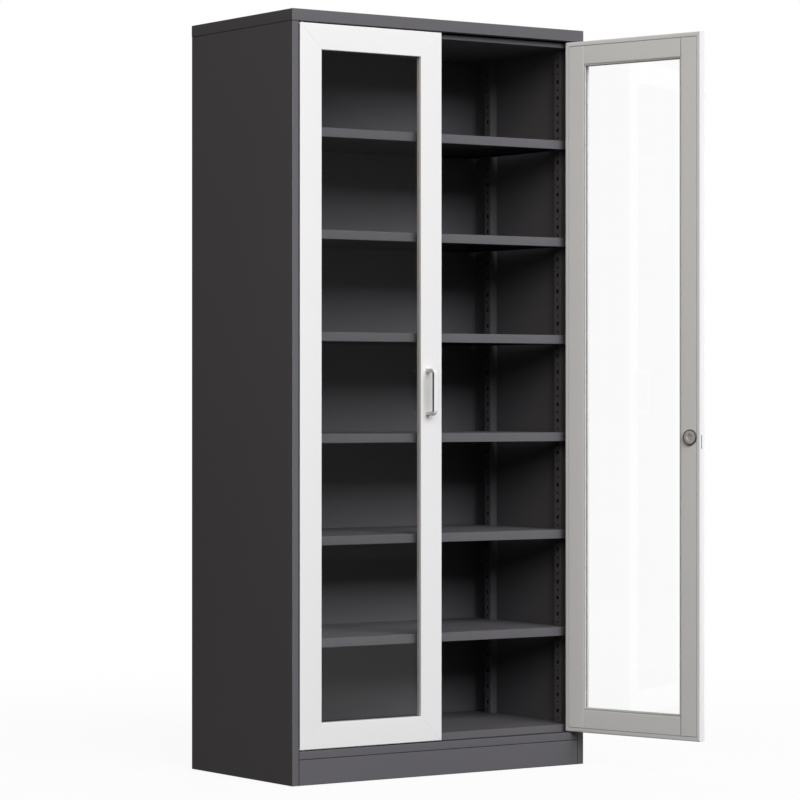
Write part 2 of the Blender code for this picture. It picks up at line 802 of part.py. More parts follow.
def pull_handle(side):
    """A bow handle: a rounded bar carried up one leg, along the grip and down the other leg."""
    leg = HANDLE_LENGTH / 2 - HANDLE_THICKNESS / 2
    grip = HANDLE_THICKNESS / 2 - HANDLE_PROJECTION
    path = [Vector((-leg, -FIT)), Vector((-leg, grip)), Vector((leg, grip)), Vector((leg, -FIT))]
    line = rounded(path, [HANDLE_CORNER] * 2, CORNER_STEPS)
    across = HANDLE_WIDTH / 2
    out = HANDLE_THICKNESS / 2
    start = Vector((0.0, -out))
    corners = [Vector((a, b)) for a, b in ((across, -out), (across, out), (-across, out), (-across, -out))]
    section = rounded([start, *corners, start], [HANDLE_EDGE] * 4)[1:-1]
    door = door_place(side)
    shape = swept(line, section, lambda a, b, c: door(HANDLE_INSET + a, b, HANDLE_HEIGHT + c))
    handle = make_object(SIDES[side] + "_door_handle", shape)
    half_bed = GRIP_LINER_LENGTH / 2 + FIT
    low = (HANDLE_INSET - across - CUT_PAST, HANDLE_HEIGHT - half_bed)
    high = (HANDLE_INSET + across + CUT_PAST, HANDLE_HEIGHT + half_bed)
    depths = [(0.0, GRIP_BED - FIT), (0.0, GRIP_BACK + CUT_PAST)]
    cut(handle, tray(depths, low, high, lambda a, b, c: door(a, c, b)))
    return handle


def grip_liner(side):
    """A dark strip let into the back of the grip, between the legs."""
    half = HANDLE_WIDTH / 2
    corners = [
        Vector((0.0, GRIP_BED)),
        Vector((-half, GRIP_BED)),
        Vector((-half, GRIP_BACK)),
        Vector((half, GRIP_BACK)),
        Vector((half, GRIP_BED)),
        Vector((0.0, GRIP_BED)),
    ]
    outline = rounded(corners, [0.0, HANDLE_EDGE, HANDLE_EDGE, 0.0])[1:-1]
    door = door_place(side)
    ends = (HANDLE_HEIGHT - GRIP_LINER_LENGTH / 2, HANDLE_HEIGHT + GRIP_LINER_LENGTH / 2)
    shape = straight(outline, *ends, lambda a, b, c: door(HANDLE_INSET + a, b, c))
    return make_object(SIDES[side] + "_door_grip_liner", shape)


# Lock


def d_outline(radius, flat):
    """A round bar's section with a flat along its top."""
    half_angle = math.acos((radius - flat) / radius)
    start = math.pi / 2 + half_angle
    sweep = 2 * (math.pi - half_angle)
    angles = [start + sweep * step / ROUND_SIDES for step in range(ROUND_SIDES + 1)]
    return [Vector((radius * math.cos(angle), radius * math.sin(angle))) for angle in angles]


def lock_barrel():
    bore = PLUG_RADIUS + PLUG_CLEARANCE
    face = -FIT - ESCUTCHEON_HEIGHT
    profile = [
        (bore, face),
        (ESCUTCHEON_RADIUS - ESCUTCHEON_CHAMFER, face),
        (ESCUTCHEON_RADIUS, face + ESCUTCHEON_CHAMFER),
        (ESCUTCHEON_RADIUS, -FIT),
        (BARREL_RADIUS, -FIT),
        (BARREL_RADIUS, BARREL_LENGTH),
        (bore, BARREL_LENGTH),
    ]
    axis = door_axis(RIGHT, LOCK_INSET, LOCK_HEIGHT)
    return make_object("lock_barrel", turned(profile, axis, hollow=True, sides=LOCK_SIDES))


def lock_plug():
    """The keyed plug with its flatted spindle, which turns the cam and shows inside the rose."""
    face = -FIT - ESCUTCHEON_HEIGHT
    end = ROSE_BACK - SPINDLE_SUNK
    profile = [
        (0.0, face),
        (PLUG_RADIUS, face),
        (PLUG_RADIUS, BARREL_LENGTH),
        (SPINDLE_RADIUS, BARREL_LENGTH),
        (SPINDLE_RADIUS, end),
        (0.0, end),
    ]
    axis = door_axis(RIGHT, LOCK_INSET, LOCK_HEIGHT)
    plug = make_object("lock_plug", turned(profile, axis, sides=LOCK_SIDES))
    slot_half = Vector((KEY_SLOT_WIDTH / 2, KEY_SLOT_HEIGHT / 2))
    slot = [(0.0, face - CUT_PAST), (0.0, face + KEY_SLOT_DEPTH)]
    cut(plug, tray(slot, -slot_half, slot_half, axis))
    flat = [(0.0, BARREL_LENGTH + FIT), (0.0, end + CUT_PAST)]
    low = (-2 * SPINDLE_RADIUS, SPINDLE_RADIUS - SPINDLE_FLAT)
    high = (2 * SPINDLE_RADIUS, 2 * SPINDLE_RADIUS)
    cut(plug, tray(flat, low, high, axis))
    return plug


def lock_cam():
    """The tongue on the spindle, hanging down inside the door until the key lifts it."""
    half = CAM_WIDTH / 2
    neck = -math.sqrt(CAM_HUB_RADIUS**2 - half**2)
    start = math.atan2(neck, half)
    sweep = math.pi - 2 * start
    angles = [start + sweep * step / ROUND_SIDES for step in range(ROUND_SIDES + 1)]
    hub = [Vector((math.cos(angle), math.sin(angle))) * CAM_HUB_RADIUS for angle in angles]
    tip = [Vector((-half, -CAM_LENGTH)), Vector((half, -CAM_LENGTH))]
    tongue = rounded([hub[-1], *tip, hub[0]], [CAM_CORNER] * 2)[1:-1]
    axis = door_axis(RIGHT, LOCK_INSET, LOCK_HEIGHT)
    cam = make_object("lock_cam", straight(hub + tongue, CAM_FRONT, CAM_REAR, axis))
    eye = d_outline(SPINDLE_RADIUS + SPINDLE_CLEARANCE, SPINDLE_FLAT)
    cut(cam, straight(eye, CAM_FRONT - CUT_PAST, CAM_REAR + CUT_PAST, axis))
    return cam


def lock_rose():
    """The round cover over the lock on the inner face, open in the middle over the spindle."""
    hole = SPINDLE_RADIUS + SPINDLE_CLEARANCE
    recess = ROSE_BACK - ROSE_RECESS_DEPTH
    rim = rounded(
        [
            Vector((ROSE_RECESS_RADIUS, ROSE_BACK)),
            Vector((ROSE_RADIUS, ROSE_BACK)),
            Vector((ROSE_RADIUS, ROSE_FRONT)),
        ],
        [ROSE_EDGE],
    )
    profile = [(hole, ROSE_FRONT), (hole, recess), (ROSE_RECESS_RADIUS, recess)]
    profile += [tuple(point) for point in rim]
    axis = door_axis(RIGHT, LOCK_INSET, LOCK_HEIGHT)
    return make_object("lock_rose", turned(profile, axis, hollow=True, sides=LOCK_SIDES))


def cam_slot(side):
    """The slot in a free edge that the tongue swings through."""
    to_wall = LOCK_FROM_FREE_EDGE - DOOR_SHEET
    below = math.sqrt(CAM_LENGTH**2 + (CAM_WIDTH / 2) ** 2 - to_wall**2) + CAM_CLEARANCE
    low = (DOOR_WIDTH - DOOR_SHEET - CUT_PAST, LOCK_HEIGHT - below)
    high = (DOOR_WIDTH + CUT_PAST, LOCK_HEIGHT + CAM_WIDTH / 2 + CAM_CLEARANCE)
    door = door_place(side)
    depths = [(0.0, CAM_FRONT - CAM_CLEARANCE), (0.0, CAM_REAR + CAM_CLEARANCE)]
    return tray(depths, low, high, lambda a, b, c: door(a, c, b))


# Slide bolt


def bolt_guide():
    """A plate on the left door's inner face with two eyes for the bolt."""
    door = door_place(LEFT)
    base = DOOR_THICKNESS + FIT
    low = (BOLT_INSET - GUIDE_WIDTH / 2, GUIDE_BOTTOM)
    high = (BOLT_INSET + GUIDE_WIDTH / 2, GUIDE_TOP)
    plate = [(0.0, base), (0.0, base + GUIDE_PLATE)]
    guide = make_object("bolt_guide", tray(plate, low, high, lambda a, b, c: door(a, c, b)))
    reach = BOLT_RADIUS + EYE_WALL
    foot = base + GUIDE_PLATE / 2
    back = BOLT_DEPTH + reach
    arch = [
        Vector((BOLT_INSET - reach, foot)),
        Vector((BOLT_INSET - reach, back)),
        Vector((BOLT_INSET + reach, back)),
        Vector((BOLT_INSET + reach, foot)),
    ]
    eye = rounded(arch, [BOLT_RADIUS] * 2, CORNER_STEPS)
    for bottom in (GUIDE_BOTTOM + EYE_INSET, GUIDE_TOP - EYE_INSET - EYE_HEIGHT):
        join(guide, straight(eye, bottom, bottom + EYE_HEIGHT, door))
    x, y, _ = door(BOLT_INSET, BOLT_DEPTH, 0.0)
    bore = upright_axis(x, y)
    cut(guide, drill(BOLT_RADIUS + BOLT_CLEARANCE, GUIDE_BOTTOM - CUT_PAST, GUIDE_TOP + CUT_PAST, bore))
    return guide


def door_bolt():
    """A round bolt with a thumb knob that rests on the lower eye."""
    door = door_place(LEFT)
    x, y, _ = door(BOLT_INSET, BOLT_DEPTH, 0.0)
    profile = [
        (0.0, BOLT_TIP - BOLT_LENGTH),
        (BOLT_RADIUS, BOLT_TIP - BOLT_LENGTH),
        (BOLT_RADIUS, BOLT_TIP - BOLT_CHAMFER),
        (BOLT_RADIUS - BOLT_CHAMFER, BOLT_TIP),
        (0.0, BOLT_TIP),
    ]
    bolt = make_object("door_bolt", turned(profile, upright_axis(x, y)))
    height = GUIDE_BOTTOM + EYE_INSET + EYE_HEIGHT + FIT + KNOB_RADIUS
    knob_axis = door_axis(LEFT, BOLT_INSET, height)
    join(bolt, drill(KNOB_RADIUS, BOLT_DEPTH, BOLT_DEPTH + BOLT_RADIUS + KNOB_LENGTH, knob_axis))
    return bolt


# Assembly


def door_carrier(side, opened):
    """The empty on a door's pivot axis that turns everything on the door."""
    carrier = bpy.data.objects.new(SIDES[side] + "_door_pivot", None)
    bpy.context.scene.collection.objects.link(carrier)
    carrier.location = (side * PIVOT_X, PIVOT_Y, DOOR_BOTTOM)
    carrier.rotation_euler.z = opened
    return carrier


def build_door(side, carrier):
    """What both doors share. Returns the channels and covers that a lock may still be cut into."""
    frame = outer_frame(side)
    covers = cover_frame(side)
    for end, edge in (("top", DOOR_TOP), ("bottom", DOOR_BOTTOM)):
        pin_hole = upright_axis(side * PIVOT_X, PIVOT_Y)
        reach = DOOR_SHEET + CUT_PAST
        cut(frame[end + "_rail"], drill(PIN_RADIUS + PIN_CLEARANCE, edge - reach, edge + reach, pin_hole))
        settle(pivot_pin(side, end), ZINC, carrier.location, carrier)
    cut(frame["free_stile"], cam_slot(side))
    settle(door_pane(side), CLEAR_GLASS, carrier.location, carrier)
    settle(door_gasket(side), GREY_RUBBER, carrier.location, carrier)
    settle(pull_handle(side), WHITE_COAT, carrier.location, carrier)
    settle(grip_liner(side), DARK_GRIP, carrier.location, carrier)
    return frame, covers


def fit_lock(frame, covers, carrier):
    axis = door_axis(RIGHT, LOCK_INSET, LOCK_HEIGHT)
    front = (-CUT_PAST, DOOR_SHEET + CUT_PAST)
    cut(frame["free_stile"], drill(BARREL_RADIUS + FIT, *front, axis, sides=LOCK_SIDES))
    rear = (DOOR_THICKNESS - DOOR_SHEET - CUT_PAST, DOOR_THICKNESS + CUT_PAST)
    cut(covers["free_stile"], drill(SPINDLE_RADIUS + CAM_CLEARANCE, *rear, axis))
    settle(lock_barrel(), NICKEL, carrier.location, carrier)
    settle(lock_rose(), NICKEL, carrier.location, carrier)
    centre = axis(0.0, 0.0, 0.0)
    settle(lock_plug(), NICKEL, centre, carrier)
    settle(lock_cam(), ZINC, centre, carrier)


def fit_bolt(carrier):
    settle(bolt_guide(), ZINC, carrier.location, carrier)
    rest = door_place(LEFT)(BOLT_INSET, BOLT_DEPTH, BOLT_TIP)
    settle(door_bolt(), ZINC, rest, carrier)


def build_carcass():
    for side in SIDES:
        side_panel(side)
        for row in UPRIGHT_CENTRES:
            upright(side, row)
        for end in ("top", "bottom"):
            pivot_bush(side, end)
    back_panel()
    top_cap()
    top_liner()
    floor_panel()
    sill_rail()
    plinth()
    for number, top in enumerate(SHELF_TOPS, start=1):
        shelf(number, top)


def main():
    clear_scene()
    build_carcass()
    for side, opened in ((LEFT, 0.0), (RIGHT, RIGHT_DOOR_OPEN)):
        carrier = door_carrier(side, opened)
        frame, covers = build_door(side, carrier)
        if side == RIGHT:
            fit_lock(frame, covers, carrier)
        else:
            fit_bolt(carrier)
        for member in (*frame.values(), *covers.values()):
            settle(member, WHITE_COAT, carrier.location, carrier)


main()
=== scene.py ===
"""Looks of the glass-door steel cabinet: its coats, glass, metal and rubber, its small fasteners,
the studio light and the camera.

Lengths are in metres, in the frame's own axes: +Z up, the doors facing -Y, the origin on the floor.
"""

import json
import math

import bmesh
import bpy
from mathutils import Matrix, Vector

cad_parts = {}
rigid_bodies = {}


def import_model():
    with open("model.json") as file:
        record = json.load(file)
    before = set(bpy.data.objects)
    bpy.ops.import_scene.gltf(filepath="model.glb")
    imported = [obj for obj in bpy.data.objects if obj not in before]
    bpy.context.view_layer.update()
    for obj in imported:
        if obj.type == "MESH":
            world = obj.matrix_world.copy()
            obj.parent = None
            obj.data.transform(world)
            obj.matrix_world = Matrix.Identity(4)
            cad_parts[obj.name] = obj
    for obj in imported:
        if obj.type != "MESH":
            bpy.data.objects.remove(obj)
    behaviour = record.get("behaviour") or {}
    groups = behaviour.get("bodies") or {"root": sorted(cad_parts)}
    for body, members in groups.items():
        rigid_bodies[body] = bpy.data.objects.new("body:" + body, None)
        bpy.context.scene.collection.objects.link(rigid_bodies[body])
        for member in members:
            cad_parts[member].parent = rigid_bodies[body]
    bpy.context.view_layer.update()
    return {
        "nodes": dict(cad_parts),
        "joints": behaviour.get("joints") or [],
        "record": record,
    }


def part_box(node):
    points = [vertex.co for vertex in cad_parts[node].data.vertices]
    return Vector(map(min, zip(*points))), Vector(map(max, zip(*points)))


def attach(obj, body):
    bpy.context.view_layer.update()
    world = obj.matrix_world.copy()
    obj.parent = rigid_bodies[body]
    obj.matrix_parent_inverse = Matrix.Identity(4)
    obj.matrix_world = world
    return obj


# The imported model, in a file that is empty otherwise
for leftover in list(bpy.data.objects):
    bpy.data.objects.remove(leftover)
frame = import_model()

# Camera, fitted to the carcass corners in the photograph
CAMERA_PLACE = Vector((-4.59735, -6.48441, 0.89517))
CAMERA_YAW = 0.6049
CAMERA_LENS_MM = 149.84
CAMERA_SHIFT_Y = -0.00094
CAMERA_REACH = 100.0
SENSOR_MM = 36.0

# Studio
AIM = Vector((0.05, 0.0, 0.90))
KEY_PLACE = Vector((-0.60, -12.66, 7.45))
KEY_WIDTH = 12.0
KEY_HEIGHT = 7.0
KEY_WATTS = 2270.0
KEY_COLOUR = (0.960, 0.968, 1.0)
FILL_PLACE = Vector((-3.40, -2.40, 3.10))
FILL_WIDTH = 3.5
FILL_HEIGHT = 3.5
FILL_WATTS = 57.0
FILL_COLOUR = (1.0, 0.91, 0.78)
EDGE_PLACE = Vector((2.60, -0.30, 0.85))
EDGE_WIDTH = 0.5
EDGE_HEIGHT = 2.4
EDGE_WATTS = 38.0
EDGE_COLOUR = (1.0, 1.0, 1.0)
BACK_PLACE = Vector((3.40, 4.60, 3.20))
BACK_WIDTH = 3.0
BACK_HEIGHT = 3.0
BACK_WATTS = 150.0
BACK_COLOUR = (1.0, 1.0, 1.0)
AMBIENT = 0.03
MIRRORED_WALLS = 0.14
MIRRORED_FLOOR = 0.6
WHITE = (1.0, 1.0, 1.0, 1.0)
FLOOR_HALF = 9.0
FLOOR_DROP = 0.0005
FLOOR_FADE_START = 1.2
FLOOR_FADE_END = 3.4
FLOOR_MIRROR_LEFT = 0.2
FLOOR_MIRROR_RIGHT = 1.0
FLOOR_MIRROR_START = 4.0
FLOOR_MIRROR_END = 8.5
FLOOR_WHITE_SHARE = 0.93
FLOOR_TONE = 0.92
FLOOR_BOUNCE = 0.04
FLOOR_ROUGHNESS = 0.9
FLOOR_FOOTPRINT_FADE = 0.004

# Colours and finishes
CHARCOAL = (0.114, 0.110, 0.119)
CHARCOAL_PALE = (0.121, 0.117, 0.126)
# Lighter edge colour of the charcoal coat: partly wear, partly painted highlight along the edges.
CHARCOAL_WORN_HIGHLIGHT = (0.205, 0.203, 0.205)
COAT_WHITE = (0.815, 0.815, 0.812)
COAT_WHITE_PALE = (0.850, 0.850, 0.846)
# Lighter edge colour of the white coat: partly wear, partly painted highlight along the edges.
COAT_WHITE_WORN_HIGHLIGHT = (0.900, 0.900, 0.895)
DUST = (0.42, 0.40, 0.37)
CARCASS_DUST = 0.10
DUST_DULLING = 0.3
WEAR_HIGHLIGHT_SHARE = 0.6
COAT_SHINE = 0.28
CARCASS_GLOSS = (0.46, 0.55)
DOOR_GLOSS = (0.34, 0.48)
GLASS_TINT = (0.996, 1.0, 0.998, 1.0)
GLASS_SHADE = (0.895, 0.90, 0.90, 1.0)
GLASS_IOR = 1.35
RUBBER_DARK = (0.56, 0.55, 0.54)
RUBBER_PALE = (0.64, 0.63, 0.62)
# Dark seal colour, which also paints the shade of the groove it lies in.
SEAL_SHADE_DARK = (0.21, 0.205, 0.20)
SEAL_SHADE_PALE = (0.27, 0.265, 0.26)
GRIP_DARK = (0.012, 0.011, 0.011)
GRIP_PALE = (0.022, 0.021, 0.020)
NICKEL_DARK = (0.58, 0.57, 0.55)
NICKEL_PALE = (0.68, 0.67, 0.65)
ZINC_DARK = (0.46, 0.47, 0.49)
ZINC_PALE = (0.62, 0.63, 0.64)
NYLON_DARK = (0.040, 0.039, 0.038)
NYLON_PALE = (0.060, 0.058, 0.057)
# Dark ring colour round the lock's rose, partly painted shade of the rose's rim and the shadow line round
# it.
BEZEL_SHADE_DARK = (0.050, 0.047, 0.044)
BEZEL_SHADE_PALE = (0.085, 0.081, 0.077)
# Dark strip colour, which also paints the shade of the gaps and seams that the strips lie in.
STRIP_SHADE_DARK = (0.020, 0.020, 0.021)
STRIP_SHADE_PALE = (0.034, 0.034, 0.035)
DULL_GLOSS = (0.6, 0.8)
BEZEL_GLOSS = (0.3, 0.45)
NYLON_GLOSS = (0.5, 0.65)
NICKEL_GLOSS = (0.38, 0.52)
NICKEL_BRUSHED = (1.0, 1.0, 0.06)
NICKEL_METALLIC = 0.3
ZINC_GLOSS = (0.25, 0.45)
ZINC_BRUSHED = (1.0, 1.0, 0.10)
GLASS_HAZE = 0.05

# Sizes of the surface detail
PEEL_GRAIN = 0.0016
PEEL_DEPTH = 0.00006
MOULD_GRAIN = 0.0007
MOULD_DEPTH = 0.00003
BRUSH_DEPTH = 0.00002
WEAR_HIGHLIGHT_REACH = 0.0035
WEAR_HIGHLIGHT_LEAST_REACH = 0.0001
CORNER_ROUND = 0.00025
SHEET_CORNER_ROUND = 0.0001
CORNER_SEGMENTS = 2
SHARP_ANGLE = math.radians(50)
WELD_DISTANCE = 0.00001

# Noises of the surface detail, each as repeats in a metre, octaves and roughness
COAT_WAVES = (3.4, 2.0, 0.5)
COAT_CLOUDS = (1.7, 4.0, 0.55)
COAT_SPECKLE = (420.0, 1.0, 0.5)
COAT_GLOSS_PATCHES = (9.0, 5.0, 0.6)
WEAR_HIGHLIGHT_RAGGED = (46.0, 6.0, 0.7)
DUST_PATCHES = (7.0, 6.0, 0.62)
DUST_SPECKS = (260.0, 2.0, 0.6)
BRUSHING = (900.0, 3.0, 0.6)
METAL_CLOUDS = (160.0, 5.0, 0.6)
MOULD_CLOUDS = (55.0, 4.0, 0.6)
SMEAR_STREAKS = (4.0, 5.0, 0.65)

# How the noises are drawn, mixed and spread
PEEL_OCTAVES = 2.0
PEEL_ROUGHNESS = 0.45
COAT_WAVE_HEIGHT = 2.5
SPECKLE_SHARE = 0.3
METAL_CLOUD_SHARE = 0.5
SMEAR_SWIRL = 3.0
SMEAR_DISTORTION = 1.6
SMEAR_STRETCH = (14.0, 14.0, 2.2)
NOISE_RANGE = (0.3, 0.7)
WEAR_HIGHLIGHT_RAGGED_RANGE = (0.35, 0.7)
WEAR_HIGHLIGHT_FADE_RANGE = (0.0, 0.8)
DUST_LEVEL_RANGE = (0.8, 0.98)
DUST_PATCH_RANGE = (0.3, 0.75)
DUST_PATCH_LEAST = 0.2
DUST_SPECK_RANGE = (0.35, 0.7)
DUST_SPECK_LEAST = 0.4
SMEAR_RANGE = (0.5, 0.8)
HAZE_RANGE = (0.0, 0.5)

# Trim and fasteners
BEZEL_GAP = 0.0002
BEZEL_WALL = 0.0009
BEZEL_LIP = 0.0008
BEZEL_PROUD = 0.0006
SCREW_RADIUS = 0.0035
SCREW_HEIGHT = 0.0020
SCREW_RECESS = 0.0013
SCREW_ARM = 0.0021
SCREW_SLOT = 0.0008
SCREW_FULLNESS = 0.5
FASTENER_SEAT = 0.00005
ROUND_SIDES = 32
DOME_STEPS = 5
BACK_SCREWS = 6
BACK_SCREW_END = 0.060
BACK_SCREW_INSET = 0.0075
GUIDE_PLATE = 0.0015
GUIDE_SCREW_INSET = 0.005
GUIDE_SCREW_RISE = 0.006
RIVET_RADIUS = 0.0030
RIVET_HEIGHT = 0.0012
RIVET_FULLNESS = 1.0
RIVET_END = 0.045
SEAL_INSET = 0.01015
SEAL_WIDTH = 0.0012
SEAL_SUNK = 0.00125
SEAL_HEIGHT = 0.0005
SEAL_SHOULDER = 0.6
BEAD_GAP = 0.0003
BEAD_WIDTH = 0.0034
BEAD_SUNK = 0.0002
BEAD_DROP = 0.0022
BEAD_BASE = 0.0049
BEAD_STEPS = 6
STRIP_PROUD = 0.0012
STRIP_SET_BACK = 0.0012
STRIP_WIDTH = 0.0100
STRIP_END = 0.0040
STRIP_SHOULDER = 0.5
STRIP_CROWN = 0.25
SILL_STRIP_FRONT = 0.0020
SILL_STRIP_BACK = 0.0010
SEALANT_GAP = 0.0001
SEALANT_SUNK = 0.0003
SEALANT_RISE = 0.0006
SEALANT_END = 0.0010
JOINT_WIDTH = 0.0024
JOINT_PROUD = 0.0002
FILLET_WIDTH = 0.0006
FILLET_SUNK = 0.00002
FILLET_RISE = 0.0006
FILLET_END = 0.0010

SIDES = ("left", "right")


# Places read from the frame


def rest_motion(side):
    """What carries a closed door to where it stands at rest."""
    joint = next(joint for joint in frame["joints"] if joint["name"] == side + "_door_swing")
    pivot = Vector(joint["pos_m"])
    opened = -math.radians(joint["range_deg"][0])
    turn = Matrix.Rotation(opened, 4, Vector(joint["axis"]))
    return Matrix.Translation(pivot) @ turn @ Matrix.Translation(-pivot)


def closed_box(node, side):
    """A door piece's lowest and highest corners with its door closed."""
    back = rest_motion(side).inverted()
    points = [back @ vertex.co for vertex in frame["nodes"][node].data.vertices]
    low = Vector([min(point[axis] for point in points) for axis in range(3)])
    high = Vector([max(point[axis] for point in points) for axis in range(3)])
    return low, high


def door_box(side):
    """The lowest and highest corners of a door's frame with the door closed."""
    hinge_low, hinge_high = closed_box(side + "_door_hinge_stile", side)
    free_low, free_high = closed_box(side + "_door_free_stile", side)
    return Vector(map(min, hinge_low, free_low)), Vector(map(max, hinge_high, free_high))


# Node helpers


def add(tree, kind, values=None, **settings):
    """A node with its settings, and its inputs linked or set by name or number."""
    made = tree.nodes.new(kind)
    for name, value in settings.items():
        setattr(made, name, value)
    for name, value in (values or {}).items():
        if isinstance(value, bpy.types.NodeSocket):
            tree.links.new(value, made.inputs[name])
        else:
            made.inputs[name].default_value = value
    return made


def sums(tree, operation, *terms):
    """The result of a Math node."""
    return add(tree, "ShaderNodeMath", dict(enumerate(terms)), operation=operation).outputs[0]


def vectors(tree, operation, *terms):
    """The result of a Vector Math node."""
    return add(tree, "ShaderNodeVectorMath", dict(enumerate(terms)), operation=operation).outputs[0]


def noise(tree, vector, scale, octaves, roughness):
    """The value of a Noise texture."""
    values = {"Vector": vector, "Scale": scale, "Detail": octaves, "Roughness": roughness}
    return add(tree, "ShaderNodeTexNoise", values).outputs["Fac"]


def spread(tree, value, low, high, to_low=0.0, to_high=1.0):
    """A value moved from one range to another and kept inside it."""
    values = {"Value": value, "From Min": low, "From Max": high, "To Min": to_low, "To Max": to_high}
    return add(tree, "ShaderNodeMapRange", values).outputs["Result"]


def evened(tree, value, to_low=0.0, to_high=1.0):
    """A noise, which mostly keeps near its middle, spread over a full range."""
    return spread(tree, value, *NOISE_RANGE, to_low, to_high)


def averaged(tree, first, second, share):
    """Two values added up: a share of the second and the rest of the first."""
    rest = sums(tree, "MULTIPLY", first, 1.0 - share)
    return sums(tree, "ADD", rest, sums(tree, "MULTIPLY", second, share))


def blended(tree, share, first, second):
    """Two colours mixed by a share of the second."""
    mix = add(tree, "ShaderNodeMix", data_type="RGBA")
    sockets = {socket.identifier: socket for socket in (*mix.inputs, *mix.outputs)}
    tree.links.new(share, sockets["Factor_Float"])
    for name, colour in (("A_Color", first), ("B_Color", second)):
        if isinstance(colour, bpy.types.NodeSocket):
            tree.links.new(colour, sockets[name])
        else:
            sockets[name].default_value = (*colour, 1.0)
    return sockets["Result_Color"]


def new_group(name, inputs, outputs):
    """An empty shader group with named sockets, given as (name, kind, value) and (name, kind)."""
    tree = bpy.data.node_groups.new(name, "ShaderNodeTree")
    for socket, kind, value in inputs:
        made = tree.interface.new_socket(socket, in_out="INPUT", socket_type="NodeSocket" + kind)
        if value is not None:
            made.default_value = value
    for socket, kind in outputs:
        tree.interface.new_socket(socket, in_out="OUTPUT", socket_type="NodeSocket" + kind)
    return tree, tree.nodes.new("NodeGroupInput").outputs


def put_out(tree, **results):
    """Links a group's results to its named outputs and hands back the group."""
    ends = tree.nodes.new("NodeGroupOutput")
    for name, socket in results.items():
        tree.links.new(socket, ends.inputs[name])
    return tree


def placed(tree, group, **values):
    """A group placed in a material; the outputs are read by name."""
    return add(tree, "ShaderNodeGroup", values, node_tree=group).outputs


# Effects that several materials share


def coat_texture_group():
    """Powder coat: the orange peel's height, the broad tone of the sheet and patches of gloss."""
    tree, given = new_group(
        "powder_coat_texture",
        [("Vector", "Vector", None), ("Grain", "Float", PEEL_GRAIN)],
        [("Height", "Float"), ("Tone", "Float"), ("Gloss", "Float")],
    )
    fine = sums(tree, "DIVIDE", 1.0, given["Grain"])
    peel = noise(tree, given["Vector"], fine, PEEL_OCTAVES, PEEL_ROUGHNESS)
    waves = noise(tree, given["Vector"], *COAT_WAVES)
    height = sums(tree, "ADD", peel, sums(tree, "MULTIPLY", waves, COAT_WAVE_HEIGHT))
    broad = noise(tree, given["Vector"], *COAT_CLOUDS)
    speckle = noise(tree, given["Vector"], *COAT_SPECKLE)
    tone = averaged(tree, broad, speckle, SPECKLE_SHARE)
    gloss = noise(tree, given["Vector"], *COAT_GLOSS_PATCHES)
    return put_out(tree, Height=height, Tone=evened(tree, tone), Gloss=gloss)


def edge_wear_highlight_group():
    """Where the coat is lighter near two faces of a box at once, broken up by noise: partly rubbed wear,
    partly painted highlight along the edges.
    """
    tree, given = new_group(
        "edge_wear_highlight",
        [
            ("Vector", "Vector", None),
            ("Low", "Vector", (0.0, 0.0, 0.0)),
            ("High", "Vector", (1.0, 1.0, 1.0)),
            ("Reach", "Float", WEAR_HIGHLIGHT_REACH),
        ],
        [("Mask", "Float")],
    )
    below = vectors(tree, "ABSOLUTE", vectors(tree, "SUBTRACT", given["Vector"], given["Low"]))
    above = vectors(tree, "ABSOLUTE", vectors(tree, "SUBTRACT", given["High"], given["Vector"]))
    nearest = add(tree, "ShaderNodeSeparateXYZ", {0: vectors(tree, "MINIMUM", below, above)}).outputs
    lesser = sums(tree, "MINIMUM", nearest[0], nearest[1])
    greater = sums(tree, "MAXIMUM", nearest[0], nearest[1])
    to_edge = sums(tree, "MAXIMUM", lesser, sums(tree, "MINIMUM", greater, nearest[2]))
    ragged = spread(tree, noise(tree, given["Vector"], *WEAR_HIGHLIGHT_RAGGED), *WEAR_HIGHLIGHT_RAGGED_RANGE)
    reach = sums(tree, "ADD", sums(tree, "MULTIPLY", given["Reach"], ragged), WEAR_HIGHLIGHT_LEAST_REACH)
    share = sums(tree, "SUBTRACT", 1.0, sums(tree, "DIVIDE", to_edge, reach))
    return put_out(tree, Mask=spread(tree, share, *WEAR_HIGHLIGHT_FADE_RANGE))


def settled_dust_group():
    """Thin dust on faces that look up, in patches."""
    tree, given = new_group(
        "settled_dust",
        [("Vector", "Vector", None), ("Amount", "Float", CARCASS_DUST)],
        [("Mask", "Float")],
    )
    normal = add(tree, "ShaderNodeNewGeometry").outputs["Normal"]
    up = add(tree, "ShaderNodeSeparateXYZ", {0: normal}).outputs[2]
    level = spread(tree, up, *DUST_LEVEL_RANGE)
    patches = noise(tree, given["Vector"], *DUST_PATCHES)
    patches = spread(tree, patches, *DUST_PATCH_RANGE, DUST_PATCH_LEAST)
    specks = noise(tree, given["Vector"], *DUST_SPECKS)
    specks = spread(tree, specks, *DUST_SPECK_RANGE, DUST_SPECK_LEAST)
    mask = sums(tree, "MULTIPLY", sums(tree, "MULTIPLY", patches, specks), given["Amount"])
    return put_out(tree, Mask=sums(tree, "MULTIPLY", mask, level))


def plated_metal_group():
    """Plated metal: fine brushing along one direction, cloudy tone and uneven gloss."""
    tree, given = new_group(
        "plated_metal",
        [("Vector", "Vector", None), ("Stretch", "Vector", (1.0, 1.0, 1.0))],
        [("Height", "Float"), ("Tone", "Float"), ("Gloss", "Float")],
    )
    drawn = vectors(tree, "MULTIPLY", given["Vector"], given["Stretch"])
    brushing = noise(tree, drawn, *BRUSHING)
    clouds = noise(tree, given["Vector"], *METAL_CLOUDS)
    tone = averaged(tree, brushing, clouds, METAL_CLOUD_SHARE)
    return put_out(tree, Height=brushing, Tone=evened(tree, tone), Gloss=clouds)


